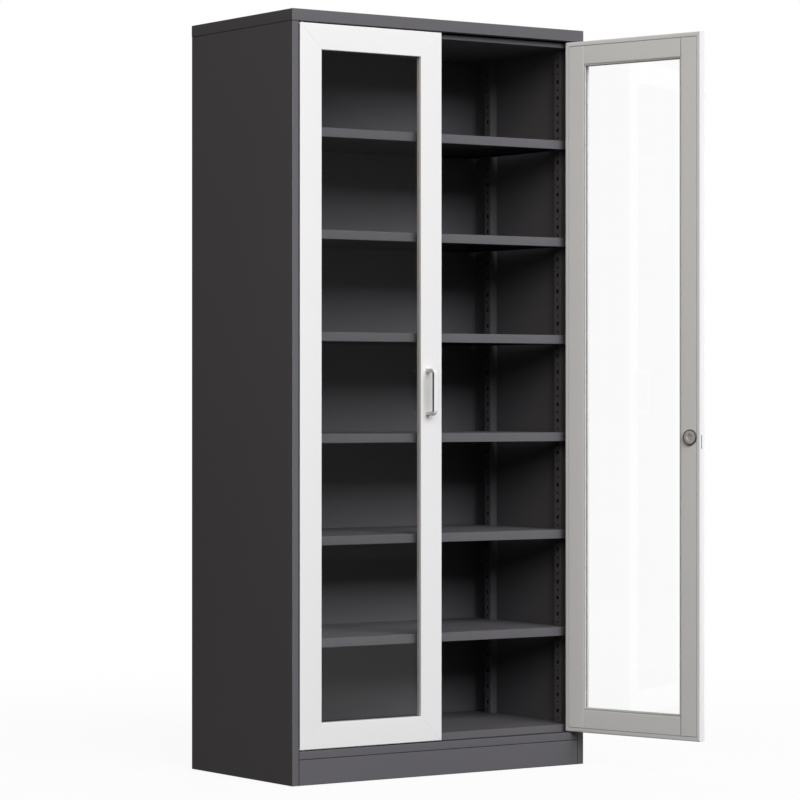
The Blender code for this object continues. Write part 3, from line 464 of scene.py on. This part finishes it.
def moulded_grain_group():
    """Moulded rubber or plastic: a fine pebbled grain and a slightly uneven tone."""
    tree, given = new_group(
        "moulded_grain",
        [("Vector", "Vector", None), ("Grain", "Float", MOULD_GRAIN)],
        [("Height", "Float"), ("Tone", "Float")],
    )
    fine = sums(tree, "DIVIDE", 1.0, given["Grain"])
    values = {"Vector": given["Vector"], "Scale": fine}
    pebbles = add(tree, "ShaderNodeTexVoronoi", values, feature="SMOOTH_F1").outputs["Distance"]
    tone = noise(tree, given["Vector"], *MOULD_CLOUDS)
    return put_out(tree, Height=pebbles, Tone=evened(tree, tone))


def hand_smears_group():
    """Faint wiping marks and haze on glass."""
    tree, given = new_group("hand_smears", [("Vector", "Vector", None)], [("Haze", "Float")])
    values = {"Vector": given["Vector"], "Scale": SMEAR_SWIRL, "Distortion": SMEAR_DISTORTION}
    swirl = add(tree, "ShaderNodeTexNoise", values).outputs["Fac"]
    wiped = spread(tree, swirl, *SMEAR_RANGE)
    drawn = vectors(tree, "MULTIPLY", given["Vector"], SMEAR_STRETCH)
    streaks = noise(tree, drawn, *SMEAR_STREAKS)
    return put_out(tree, Haze=sums(tree, "MULTIPLY", wiped, streaks))


# Materials


def new_material(name):
    """A material with its Principled shader, and the piece's own coordinates at rest."""
    material = bpy.data.materials.new(name)
    material.use_nodes = True
    tree = material.node_tree
    shader = tree.nodes["Principled BSDF"]
    return material, tree, shader, add(tree, "ShaderNodeTexCoord").outputs["Object"]


def feed(tree, shader, **sockets):
    """Links or sets the shader's inputs; underscores stand for spaces."""
    for name, value in sockets.items():
        socket = shader.inputs[name.replace("_", " ")]
        if isinstance(value, bpy.types.NodeSocket):
            tree.links.new(value, socket)
        else:
            socket.default_value = value


def bumped(tree, height, depth):
    """The normal of a surface with a fine relief of a given depth."""
    values = {"Height": height, "Distance": depth}
    return add(tree, "ShaderNodeBump", values).outputs["Normal"]


def closed_vector(tree, vector, side):
    """A door's coordinates turned back to where the door is closed."""
    back = rest_motion(side).inverted()
    values = {"Vector": vector, "Location": back.to_translation(), "Rotation": back.to_euler()}
    return add(tree, "ShaderNodeMapping", values).outputs["Vector"]


def coat_material(name, colours, box, gloss, side=None, dust=0.0):
    """Powder coat with orange peel, lighter edges along a box that are partly wear and partly painted
    highlight, and dust on level faces.
    """
    material, tree, shader, vector = new_material(name)
    if side:
        vector = closed_vector(tree, vector, side)
    dark, pale, worn_highlight = colours
    texture = placed(tree, COAT_TEXTURE, Vector=vector)
    wear_highlight = placed(tree, EDGE_WEAR_HIGHLIGHT, Vector=vector, Low=box[0], High=box[1])["Mask"]
    settled = placed(tree, SETTLED_DUST, Vector=vector, Amount=dust)["Mask"]
    colour = blended(tree, texture["Tone"], dark, pale)
    # Lighter edges: partly wear, partly painted highlight.
    colour = blended(tree, sums(tree, "MULTIPLY", wear_highlight, WEAR_HIGHLIGHT_SHARE), colour, worn_highlight)
    colour = blended(tree, settled, colour, DUST)
    rough = evened(tree, texture["Gloss"], *gloss)
    rough = sums(tree, "ADD", rough, sums(tree, "MULTIPLY", settled, DUST_DULLING))
    normal = bumped(tree, texture["Height"], PEEL_DEPTH)
    feed(tree, shader, Base_Color=colour, Roughness=rough, Normal=normal, Specular_IOR_Level=COAT_SHINE)
    return material


def metal_material(name, dark, pale, gloss, brushed, metallic=1.0):
    """Plated metal, brushed along the direction in which its texture is drawn out."""
    material, tree, shader, vector = new_material(name)
    texture = placed(tree, PLATED_METAL, Vector=vector, Stretch=brushed)
    colour = blended(tree, texture["Tone"], dark, pale)
    rough = evened(tree, texture["Gloss"], *gloss)
    normal = bumped(tree, texture["Height"], BRUSH_DEPTH)
    feed(tree, shader, Base_Color=colour, Roughness=rough, Normal=normal, Metallic=metallic)
    return material


def moulded_material(name, dark, pale, gloss):
    """Moulded rubber or plastic with its pebbled grain."""
    material, tree, shader, vector = new_material(name)
    texture = placed(tree, MOULDED_GRAIN, Vector=vector)
    colour = blended(tree, texture["Tone"], dark, pale)
    rough = spread(tree, texture["Tone"], 0.0, 1.0, *gloss)
    normal = bumped(tree, texture["Height"], MOULD_DEPTH)
    feed(tree, shader, Base_Color=colour, Roughness=rough, Normal=normal)
    return material


def glass_material(name):
    """Clear float glass that lets lamps through to what stands behind it."""
    material, tree, shader, vector = new_material(name)
    haze = placed(tree, HAND_SMEARS, Vector=vector)["Haze"]
    rough = spread(tree, haze, *HAZE_RANGE, 0.0, GLASS_HAZE)
    feed(tree, shader, Base_Color=GLASS_TINT, Roughness=rough, IOR=GLASS_IOR)
    feed(tree, shader, Transmission_Weight=1.0, Metallic=0.0)
    clear = add(tree, "ShaderNodeBsdfTransparent", {"Color": GLASS_SHADE})
    path = add(tree, "ShaderNodeLightPath").outputs
    between = sums(tree, "MAXIMUM", path["Is Shadow Ray"], path["Is Diffuse Ray"])
    mix = add(tree, "ShaderNodeMixShader", {0: between, 1: shader.outputs[0], 2: clear.outputs[0]})
    tree.links.new(mix.outputs[0], tree.nodes["Material Output"].inputs["Surface"])
    return material


# Finishing the frame's own nodes


def welded_smooth_tree():
    """Joins the facets of a node and shades its bends smooth, keeping true corners sharp."""
    tree = bpy.data.node_groups.new("welded_smooth", "GeometryNodeTree")
    tree.interface.new_socket("Geometry", in_out="INPUT", socket_type="NodeSocketGeometry")
    tree.interface.new_socket("Geometry", in_out="OUTPUT", socket_type="NodeSocketGeometry")
    start = tree.nodes.new("NodeGroupInput").outputs[0]
    merged = add(tree, "GeometryNodeMergeByDistance", {"Geometry": start, "Distance": WELD_DISTANCE})
    values = {"Geometry": merged.outputs[0], "Name": "custom_normal"}
    bare = add(tree, "GeometryNodeRemoveAttribute", values)
    values = {"Geometry": bare.outputs[0], "Shade Smooth": True}
    soft = add(tree, "GeometryNodeSetShadeSmooth", values, domain="FACE")
    angle = add(tree, "GeometryNodeInputMeshEdgeAngle").outputs["Unsigned Angle"]
    steep = add(tree, "FunctionNodeCompare", {0: angle, 1: SHARP_ANGLE}, operation="GREATER_THAN")
    values = {"Geometry": soft.outputs[0], "Selection": steep.outputs[0], "Shade Smooth": False}
    crisp = add(tree, "GeometryNodeSetShadeSmooth", values, domain="EDGE")
    ends = tree.nodes.new("NodeGroupOutput")
    tree.links.new(crisp.outputs[0], ends.inputs[0])
    return tree


def dress(node, material, rounding):
    """Gives a node of the frame its material, smooth bends and rounded corners."""
    piece = frame["nodes"][node]
    piece.data.materials.clear()
    piece.data.materials.append(material)
    piece.modifiers.new("welded", "NODES").node_group = WELDED_SMOOTH
    bevel = piece.modifiers.new("rounded_edges", "BEVEL")
    bevel.width = rounding
    bevel.segments = CORNER_SEGMENTS
    bevel.limit_method = "ANGLE"
    bevel.angle_limit = SHARP_ANGLE
    piece.modifiers.new("flat_faces", "WEIGHTED_NORMAL").keep_sharp = True


# Small pieces


def link_piece(name, surface, material, body):
    """Makes a finished mesh a piece of the scene that rides on a body."""
    mesh = bpy.data.meshes.new(name)
    bmesh.ops.recalc_face_normals(surface, faces=surface.faces)
    surface.to_mesh(mesh)
    surface.free()
    mesh.shade_smooth()
    mesh.set_sharp_from_angle(angle=SHARP_ANGLE)
    mesh.materials.append(material)
    piece = bpy.data.objects.new(name, mesh)
    bpy.context.scene.collection.objects.link(piece)
    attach(piece, body)


def turned(surface, profile, place, closed=False):
    """A profile of (radius, height) turned about its own Z axis and set in place."""
    rings = []
    for radius, height in profile:
        if radius == 0:
            rings.append([surface.verts.new(place @ Vector((0.0, 0.0, height)))])
            continue
        angles = [2 * math.pi * side / ROUND_SIDES for side in range(ROUND_SIDES)]
        spots = [Vector((radius * math.cos(angle), radius * math.sin(angle), height)) for angle in angles]
        rings.append([surface.verts.new(place @ spot) for spot in spots])
    pairs = list(zip(rings, rings[1:]))
    if closed:
        pairs.append((rings[-1], rings[0]))
    for lower, upper in pairs:
        for side in range(ROUND_SIDES):
            after = (side + 1) % ROUND_SIDES
            corners = [
                lower[side % len(lower)],
                lower[after % len(lower)],
                upper[after % len(upper)],
                upper[side % len(upper)],
            ]
            surface.faces.new(list(dict.fromkeys(corners)))


def domed(radius, height, fullness):
    """The profile of a low dome, from its flat underside to its top."""
    profile = [(0.0, 0.0)]
    for step in range(DOME_STEPS):
        angle = math.pi / 2 * step / DOME_STEPS
        profile.append((radius * math.cos(angle) ** fullness, height * math.sin(angle)))
    return [*profile, (0.0, height)]


def facing(spot, outwards):
    """Stands a piece on a spot with its own Z axis pointing outwards."""
    return Matrix.Translation(spot) @ Vector(outwards).to_track_quat("Z", "Y").to_matrix().to_4x4()


def screw_template():
    """A pan-head screw's head with a cross recess, standing on its own origin."""
    surface = bmesh.new()
    turned(surface, domed(SCREW_RADIUS, SCREW_HEIGHT, SCREW_FULLNESS), Matrix.Identity(4))
    head = bpy.data.objects.new("screw_head", bpy.data.meshes.new("screw_head"))
    surface.to_mesh(head.data)
    surface.free()
    cutter = bpy.data.objects.new("screw_recess", bpy.data.meshes.new("screw_recess"))
    cross = bmesh.new()
    top = Matrix.Translation((0.0, 0.0, SCREW_HEIGHT))
    for across, along in ((2 * SCREW_ARM, SCREW_SLOT), (SCREW_SLOT, 2 * SCREW_ARM)):
        slot = Matrix.Diagonal((across, along, 2 * SCREW_RECESS, 1.0))
        bmesh.ops.create_cube(cross, size=1.0, matrix=top @ slot)
    cross.to_mesh(cutter.data)
    cross.free()
    for made in (head, cutter):
        bpy.context.scene.collection.objects.link(made)
    cut = head.modifiers.new("recess", "BOOLEAN")
    cut.object = cutter
    cut.use_self = True
    graph = bpy.context.evaluated_depsgraph_get()
    mesh = bpy.data.meshes.new_from_object(head.evaluated_get(graph))
    bpy.data.objects.remove(head)
    bpy.data.objects.remove(cutter)
    return mesh


def screws(name, spots, outwards, material, body):
    """A set of like screws as one piece."""
    surface = bmesh.new()
    for spot in spots:
        before = len(surface.verts)
        surface.from_mesh(SCREW)
        surface.verts.ensure_lookup_table()
        bmesh.ops.transform(surface, matrix=facing(spot, outwards), verts=surface.verts[before:])
    link_piece(name, surface, material, body)


def rivets(name, spots, outwards, material, body):
    """A set of like domed rivets as one piece."""
    surface = bmesh.new()
    for spot in spots:
        turned(surface, domed(RIVET_RADIUS, RIVET_HEIGHT, RIVET_FULLNESS), facing(spot, outwards))
    link_piece(name, surface, material, body)


def lock_shade_bezel():
    """A dark rolled ring round the lock's rose on the right door's inner face; it also paints the shade of
    the rose's rim and the shadow line round it.
    """
    low, high = closed_box("lock_rose", "right")
    radius = (high.x - low.x) / 2
    height = high.y - low.y
    centre = Vector(((low.x + high.x) / 2, low.y, (low.z + high.z) / 2))
    inner = radius + BEZEL_GAP
    outer = inner + BEZEL_WALL
    lip = radius - BEZEL_LIP
    top = height + BEZEL_PROUD
    profile = [
        (inner, 0.0),
        (outer, 0.0),
        (outer, top - BEZEL_PROUD),
        (outer - BEZEL_PROUD, top),
        (lip + BEZEL_PROUD / 2, top),
        (lip, top - BEZEL_PROUD / 2),
        (inner, height - BEZEL_PROUD / 2),
    ]
    surface = bmesh.new()
    place = rest_motion("right") @ facing(centre, (0.0, 1.0, 0.0))
    turned(surface, profile, place, closed=True)
    link_piece("lock_shade_bezel", surface, MATERIALS["bezel_shade"], "right_door")


def door_ring(side, section):
    """A mitred ring on a door's inner face, from a section of (inset, sunk below the face)."""
    low, high = DOOR_BOXES[side]
    surface = bmesh.new()
    corners = []
    for inset, sunk in section:
        left, right = low.x + inset, high.x - inset
        bottom, top = low.z + inset, high.z - inset
        loop = ((left, bottom), (right, bottom), (right, top), (left, top))
        spots = [Vector((x, high.y - sunk, z)) for x, z in loop]
        corners.append([surface.verts.new(rest_motion(side) @ spot) for spot in spots])
    for first, second in zip(corners, corners[1:] + corners[:1]):
        for start in range(len(first)):
            end = (start + 1) % len(first)
            surface.faces.new((first[start], first[end], second[end], second[start]))
    return surface


def cover_shade_seal(side):
    """A thin dark seal in the groove between a door's rim and its inner cover, which also paints the
    groove's shade.
    """
    shoulder = SEAL_SUNK - SEAL_HEIGHT * SEAL_SHOULDER
    section = [
        (SEAL_INSET, SEAL_SUNK),
        (SEAL_INSET, shoulder),
        (SEAL_INSET + SEAL_WIDTH / 2, SEAL_SUNK - SEAL_HEIGHT),
        (SEAL_INSET + SEAL_WIDTH, shoulder),
        (SEAL_INSET + SEAL_WIDTH, SEAL_SUNK),
    ]
    name = side + "_door_cover_shade_seal"
    link_piece(name, door_ring(side, section), MATERIALS["seal_shade"], side + "_door")


def cover_reach(side):
    """How far a door's inner cover reaches in from the door's edge, as far as the window."""
    low, high = DOOR_BOXES[side]
    cover_low, cover_high = closed_box(side + "_door_inner_hinge_stile", side)
    return min(cover_high.x - low.x, high.x - cover_low.x)


def glazing_bead(side):
    """A rounded rubber bead that holds the pane, along the window of a door's inner cover."""
    start = cover_reach(side) + BEAD_GAP
    section = [(start, BEAD_BASE)]
    for step in range(BEAD_STEPS + 1):
        angle = math.pi / 2 * step / BEAD_STEPS
        inset = start + BEAD_WIDTH * math.sin(angle)
        section.append((inset, BEAD_SUNK + BEAD_DROP * (1 - math.cos(angle))))
    section.append((start + BEAD_WIDTH, BEAD_BASE))
    name = side + "_door_glazing_bead"
    link_piece(name, door_ring(side, section), MATERIALS["gasket"], side + "_door")


def lay_strip(surface, start, along, width, rise, motion=None):
    """A low domed strip: it starts at a corner, runs along one direction and rises off a face."""
    section = [
        (0.0, 0.0),
        (0.0, STRIP_SHOULDER),
        (STRIP_CROWN, 1.0),
        (1.0 - STRIP_CROWN, 1.0),
        (1.0, STRIP_SHOULDER),
        (1.0, 0.0),
    ]
    ends = []
    for run in (Vector(), along):
        spots = [start + run + width * across + rise * up for across, up in section]
        ends.append([surface.verts.new(motion @ spot if motion else spot) for spot in spots])
    for first in range(len(section)):
        second = (first + 1) % len(section)
        surface.faces.new((ends[0][first], ends[0][second], ends[1][second], ends[1][first]))
    for end in ends:
        surface.faces.new(end)


def hinge_strip(side):
    """A dark draught strip on a door's hinge edge, which narrows the gap beside the carcass and also paints
    the shade of that gap.
    """
    low, high = DOOR_BOXES[side]
    edge, out = (low.x, -1.0) if side == "left" else (high.x, 1.0)
    start = Vector((edge, low.y + STRIP_SET_BACK, low.z + STRIP_END))
    along = Vector((0.0, 0.0, high.z - low.z - 2 * STRIP_END))
    width = Vector((0.0, STRIP_WIDTH, 0.0))
    rise = Vector((out * STRIP_PROUD, 0.0, 0.0))
    surface = bmesh.new()
    lay_strip(surface, start, along, width, rise, rest_motion(side))
    name = side + "_door_hinge_strip"
    link_piece(name, surface, MATERIALS["strip"], side + "_door")


def sill_strip():
    """A dark strip on the ledge of the sill, under the doors and between the bottom bushes; it also paints
    the ledge's shade.
    """
    low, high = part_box("sill_rail")
    floor_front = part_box("floor_panel")[0].y
    left_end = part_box("left_bottom_pivot_bush")[1].x + STRIP_END
    right_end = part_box("right_bottom_pivot_bush")[0].x - STRIP_END
    start = Vector((left_end, low.y + SILL_STRIP_FRONT, high.z))
    along = Vector((right_end - left_end, 0.0, 0.0))
    width = Vector((0.0, floor_front - SILL_STRIP_BACK - start.y, 0.0))
    surface = bmesh.new()
    lay_strip(surface, start, along, width, Vector((0.0, 0.0, STRIP_PROUD)))
    link_piece("sill_strip", surface, MATERIALS["strip"], "cabinet")


def seam_sealant_and_shade():
    """Dark sealant in the seams under the cap and round the plinth, a little proud at the plinth's ends; it
    also paints the seams' shade.
    """
    cap_low, cap_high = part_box("top_cap")
    side_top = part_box("left_side_panel")[1].z
    flange_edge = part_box("left_side_panel")[1].x
    plinth_low, plinth_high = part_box("plinth")
    sill_low, sill_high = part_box("sill_rail")
    front = cap_low.y + SEALANT_SUNK + SEALANT_RISE
    forwards = Vector((0.0, -SEALANT_RISE, 0.0))
    surface = bmesh.new()
    for sign in (-1.0, 1.0):
        outer = sign * (cap_high.x - SEALANT_SUNK - SEALANT_RISE)
        start = Vector((outer, cap_low.y + SEALANT_SUNK, side_top + SEALANT_GAP))
        upwards = Vector((0.0, 0.0, cap_low.z - side_top - 2 * SEALANT_GAP))
        backwards = Vector((0.0, cap_high.y - cap_low.y - 2 * SEALANT_SUNK, 0.0))
        lay_strip(surface, start, backwards, upwards, Vector((sign * SEALANT_RISE, 0.0, 0.0)))
        start = Vector((sign * (SEALANT_END - flange_edge), front, side_top + SEALANT_GAP))
        lay_strip(surface, start, Vector((outer - start.x, 0.0, 0.0)), upwards, forwards)
        seam = sign * (plinth_high.x - flange_edge) / 2
        start = Vector((seam - JOINT_WIDTH / 2, cap_low.y + SEALANT_SUNK, SEALANT_GAP))
        height = Vector((0.0, 0.0, sill_high.z - 2 * SEALANT_GAP))
        proud = Vector((0.0, -SEALANT_SUNK - JOINT_PROUD, 0.0))
        lay_strip(surface, start, height, Vector((JOINT_WIDTH, 0.0, 0.0)), proud)
    start = Vector((plinth_low.x, front, plinth_high.z + SEALANT_GAP))
    upwards = Vector((0.0, 0.0, sill_low.z - plinth_high.z - 2 * SEALANT_GAP))
    lay_strip(surface, start, Vector((2 * plinth_high.x, 0.0, 0.0)), upwards, forwards)
    link_piece("seam_sealant_and_shade", surface, MATERIALS["strip"], "cabinet")


def mitre_fillets(side):
    """Coated filler in the mitres of a door's front, just below its face."""
    low, high = DOOR_BOXES[side]
    stile_low, stile_high = closed_box(side + "_door_hinge_stile", side)
    reach = stile_high.x - stile_low.x - 2 * FILLET_END
    front = low.y + FILLET_SUNK
    surface = bmesh.new()
    for x, inwards in ((low.x, 1.0), (high.x, -1.0)):
        for z, upwards in ((low.z, 1.0), (high.z, -1.0)):
            slope = Vector((inwards, 0.0, upwards))
            across = Vector((inwards, 0.0, -upwards)).normalized() * FILLET_WIDTH
            start = Vector((x, front + FILLET_RISE, z)) + slope * FILLET_END - across / 2
            rise = Vector((0.0, -FILLET_RISE, 0.0))
            lay_strip(surface, start, slope * reach, across, rise, rest_motion(side))
    name = side + "_door_mitre_fillets"
    link_piece(name, surface, MATERIALS[side + "_door"], side + "_door")


def back_panel_screws():
    """Screws through the side panels' rear flanges, which hold the back panel."""
    low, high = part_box("back_panel")
    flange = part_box("right_side_panel")[1]
    across = flange.x - BACK_SCREW_INSET
    span = high.z - low.z - 2 * BACK_SCREW_END
    heights = [low.z + BACK_SCREW_END + span * step / (BACK_SCREWS - 1) for step in range(BACK_SCREWS)]
    rear = flange.y + FASTENER_SEAT
    spots = [Vector((sign * across, rear, height)) for sign in (-1, 1) for height in heights]
    screws("back_panel_screws", spots, (0.0, 1.0, 0.0), MATERIALS["zinc"], "cabinet")


def bolt_guide_screws():
    """Four screws in the plate of the bolt's guide."""
    low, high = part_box("bolt_guide")
    face = low.y + GUIDE_PLATE + FASTENER_SEAT
    middle = (low.z + high.z) / 2
    columns = (low.x + GUIDE_SCREW_INSET, high.x - GUIDE_SCREW_INSET)
    rows = (middle - GUIDE_SCREW_RISE, middle + GUIDE_SCREW_RISE)
    spots = [Vector((x, face, z)) for x in columns for z in rows]
    screws("bolt_guide_screws", spots, (0.0, 1.0, 0.0), MATERIALS["zinc"], "left_door")


def upright_rivets(side):
    """Rivets at both ends of the uprights on one side, on the faces that look inwards."""
    inwards = 1.0 if side == "left" else -1.0
    spots = []
    for row in ("front", "rear"):
        low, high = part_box(f"{side}_{row}_upright")
        face = high.x if side == "left" else low.x
        for height in (low.z + RIVET_END, high.z - RIVET_END):
            spots.append(Vector((face + inwards * FASTENER_SEAT, (low.y + high.y) / 2, height)))
    name = side + "_upright_rivets"
    rivets(name, spots, (inwards, 0.0, 0.0), MATERIALS["carcass"], "cabinet")


# Stage


def seen_straight(tree, path):
    """One for what the camera sees, also through the panes, and none for mirrored or scattered light."""
    bounces = sums(tree, "ADD", path["Diffuse Depth"], path["Glossy Depth"])
    direct = spread(tree, bounces, 0.0, 1.0, 1.0, 0.0)
    through = sums(tree, "MULTIPLY", path["Is Transmission Ray"], direct)
    return sums(tree, "MAXIMUM", path["Is Camera Ray"], through)


def floor_material():
    """White that takes soft shadows near the cabinet and glows like the background farther out."""
    material, tree, shader, vector = new_material("floor_white")
    path = add(tree, "ShaderNodeLightPath").outputs
    bounce = spread(tree, path["Diffuse Depth"], 0.0, 1.0, FLOOR_TONE, FLOOR_BOUNCE)
    feed(tree, shader, Base_Color=bounce, Roughness=FLOOR_ROUGHNESS, Specular_IOR_Level=0.0)
    away = add(tree, "ShaderNodeVectorMath", {0: vector}, operation="LENGTH").outputs["Value"]
    seen = seen_straight(tree, path)
    across = add(tree, "ShaderNodeSeparateXYZ", {0: vector}).outputs[0]
    beside = spread(tree, across, FLOOR_MIRROR_LEFT, FLOOR_MIRROR_RIGHT, MIRRORED_WALLS, MIRRORED_FLOOR)
    far = spread(tree, away, FLOOR_MIRROR_START, FLOOR_MIRROR_END, 1.0, MIRRORED_WALLS)
    mirrored = sums(tree, "MULTIPLY", path["Is Glossy Ray"], sums(tree, "MULTIPLY", beside, far))
    strength = sums(tree, "MAXIMUM", seen, mirrored)
    glow = add(tree, "ShaderNodeEmission", {"Color": WHITE, "Strength": strength})
    middle = (CARCASS_BOX[0] + CARCASS_BOX[1]) / 2
    half = (CARCASS_BOX[1] - CARCASS_BOX[0]) / 2
    off_middle = vectors(tree, "ABSOLUTE", vectors(tree, "SUBTRACT", vector, (middle.x, middle.y, 0.0)))
    past = add(tree, "ShaderNodeSeparateXYZ", {0: vectors(tree, "SUBTRACT", off_middle, half)}).outputs
    nearest = sums(tree, "MAXIMUM", past[0], past[1])
    outside = spread(tree, nearest, -FLOOR_FOOTPRINT_FADE, 0.0)
    white_share = spread(tree, away, FLOOR_FADE_START, FLOOR_FADE_END, FLOOR_WHITE_SHARE, 1.0)
    shown = spread(tree, path["Diffuse Depth"], 0.0, 1.0, 1.0, 0.0)
    share = sums(tree, "MULTIPLY", sums(tree, "MULTIPLY", shown, outside), white_share)
    mix = add(tree, "ShaderNodeMixShader", {0: share, 1: shader.outputs[0], 2: glow.outputs[0]})
    tree.links.new(mix.outputs[0], tree.nodes["Material Output"].inputs["Surface"])
    return material


def fading_floor():
    """A white floor that takes the cabinet's soft shadow and fades into the white background."""
    surface = bmesh.new()
    bmesh.ops.create_grid(surface, x_segments=1, y_segments=1, size=FLOOR_HALF)
    mesh = bpy.data.meshes.new("floor")
    surface.to_mesh(mesh)
    surface.free()
    mesh.materials.append(floor_material())
    floor = bpy.data.objects.new("floor", mesh)
    floor.location.z = -FLOOR_DROP
    bpy.context.scene.collection.objects.link(floor)


def soft_lamp(name, place, width, height, watts, colour):
    """A rectangular studio lamp aimed at the cabinet, which the camera doesn't see."""
    lamp = bpy.data.lights.new(name, "AREA")
    lamp.shape = "RECTANGLE"
    lamp.size = width
    lamp.size_y = height
    lamp.energy = watts
    lamp.color = colour
    held = bpy.data.objects.new(name, lamp)
    held.location = place
    held.rotation_euler = (AIM - place).to_track_quat("-Z", "Y").to_euler()
    held.visible_camera = False
    held.visible_transmission = False
    bpy.context.scene.collection.objects.link(held)
    return held


def edge_lamp():
    """A narrow lamp on the right that lights the right door alone, for its free edge."""
    held = soft_lamp("edge_lamp", EDGE_PLACE, EDGE_WIDTH, EDGE_HEIGHT, EDGE_WATTS, EDGE_COLOUR)
    lit = bpy.data.collections.new("edge_lamp_receivers")
    for piece in bpy.context.scene.objects:
        if piece.name.startswith("right_door"):
            lit.objects.link(piece)
    held.light_linking.receiver_collection = lit


def back_lamp():
    """A lamp that shows the back and the right side to views from there; no sheet mirrors it."""
    held = soft_lamp("back_lamp", BACK_PLACE, BACK_WIDTH, BACK_HEIGHT, BACK_WATTS, BACK_COLOUR)
    held.visible_glossy = False


def white_world():
    """White where it is seen, dimmer where it is mirrored, and a low even light otherwise."""
    world = bpy.data.worlds.new("studio")
    world.use_nodes = True
    tree = world.node_tree
    path = add(tree, "ShaderNodeLightPath").outputs
    seen = seen_straight(tree, path)
    dim = spread(tree, path["Is Glossy Ray"], 0.0, 1.0, AMBIENT, MIRRORED_WALLS)
    strength = sums(tree, "MAXIMUM", seen, dim)
    ground = tree.nodes["Background"]
    ground.inputs["Color"].default_value = WHITE
    tree.links.new(strength, ground.inputs["Strength"])
    bpy.context.scene.world = world


def photo_camera():
    """A level camera at the photograph's viewing angle."""
    lens = bpy.data.cameras.new("camera")
    lens.lens = CAMERA_LENS_MM
    lens.sensor_width = SENSOR_MM
    lens.shift_y = CAMERA_SHIFT_Y
    lens.clip_end = CAMERA_REACH
    camera = bpy.data.objects.new("camera", lens)
    camera.location = CAMERA_PLACE
    camera.rotation_euler = (math.pi / 2, 0.0, -CAMERA_YAW)
    bpy.context.scene.collection.objects.link(camera)
    bpy.context.scene.camera = camera


# Assembly

COAT_TEXTURE = coat_texture_group()
EDGE_WEAR_HIGHLIGHT = edge_wear_highlight_group()
SETTLED_DUST = settled_dust_group()
PLATED_METAL = plated_metal_group()
MOULDED_GRAIN = moulded_grain_group()
HAND_SMEARS = hand_smears_group()
WELDED_SMOOTH = welded_smooth_tree()

CARCASS_BOX = (
    Vector((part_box("left_side_panel")[0].x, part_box("top_cap")[0].y, 0.0)),
    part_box("top_cap")[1],
)
DOOR_BOXES = {side: door_box(side) for side in SIDES}
CHARCOAL_COLOURS = (CHARCOAL, CHARCOAL_PALE, CHARCOAL_WORN_HIGHLIGHT)
WHITE_COLOURS = (COAT_WHITE, COAT_WHITE_PALE, COAT_WHITE_WORN_HIGHLIGHT)
MATERIALS = {
    "carcass": coat_material(
        "charcoal_powder_coat", CHARCOAL_COLOURS, CARCASS_BOX, CARCASS_GLOSS, dust=CARCASS_DUST
    ),
    "glass": glass_material("clear_float_glass"),
    "gasket": moulded_material("gasket_rubber", RUBBER_DARK, RUBBER_PALE, DULL_GLOSS),
    "seal_shade": moulded_material("cover_shade_seal_rubber", SEAL_SHADE_DARK, SEAL_SHADE_PALE, DULL_GLOSS),
    "strip": moulded_material("draught_strip_rubber", STRIP_SHADE_DARK, STRIP_SHADE_PALE, DULL_GLOSS),
    "grip": moulded_material("grip_plastic", GRIP_DARK, GRIP_PALE, DULL_GLOSS),
    "bezel_shade": moulded_material("bezel_black_painted_shade", BEZEL_SHADE_DARK, BEZEL_SHADE_PALE, BEZEL_GLOSS),
    "nickel": metal_material(
        "satin_nickel", NICKEL_DARK, NICKEL_PALE, NICKEL_GLOSS, NICKEL_BRUSHED, NICKEL_METALLIC
    ),
    "zinc": metal_material("zinc_plate", ZINC_DARK, ZINC_PALE, ZINC_GLOSS, ZINC_BRUSHED),
    "nylon": moulded_material("dark_nylon", NYLON_DARK, NYLON_PALE, NYLON_GLOSS),
}
for side in SIDES:
    door = side + "_door"
    name = door + "_white_powder_coat"
    MATERIALS[door] = coat_material(name, WHITE_COLOURS, DOOR_BOXES[side], DOOR_GLOSS, side)

SLOT_MATERIALS = {
    "charcoal_coat": "carcass",
    "clear_glass": "glass",
    "gasket_rubber": "gasket",
    "grip_plastic": "grip",
    "satin_nickel": "nickel",
    "zinc_plate": "zinc",
    "nylon": "nylon",
}
for subpart in frame["record"]["subparts"]:
    node = subpart["node"]
    slot = subpart["material_slot"]
    door = node.split("_")[0] + "_door"
    material = MATERIALS[door] if slot == "white_coat" else MATERIALS[SLOT_MATERIALS[slot]]
    dress(node, material, SHEET_CORNER_ROUND if slot.endswith("_coat") else CORNER_ROUND)

SCREW = screw_template()
lock_shade_bezel()
for side in SIDES:
    cover_shade_seal(side)
    glazing_bead(side)
    hinge_strip(side)
    mitre_fillets(side)
sill_strip()
seam_sealant_and_shade()
back_panel_screws()
bolt_guide_screws()
for side in SIDES:
    upright_rivets(side)
fading_floor()
soft_lamp("key_lamp", KEY_PLACE, KEY_WIDTH, KEY_HEIGHT, KEY_WATTS, KEY_COLOUR)
soft_lamp("fill_lamp", FILL_PLACE, FILL_WIDTH, FILL_HEIGHT, FILL_WATTS, FILL_COLOUR)
edge_lamp()
back_lamp()
white_world()
photo_camera()
bpy.context.scene.view_settings.view_transform = "Standard"
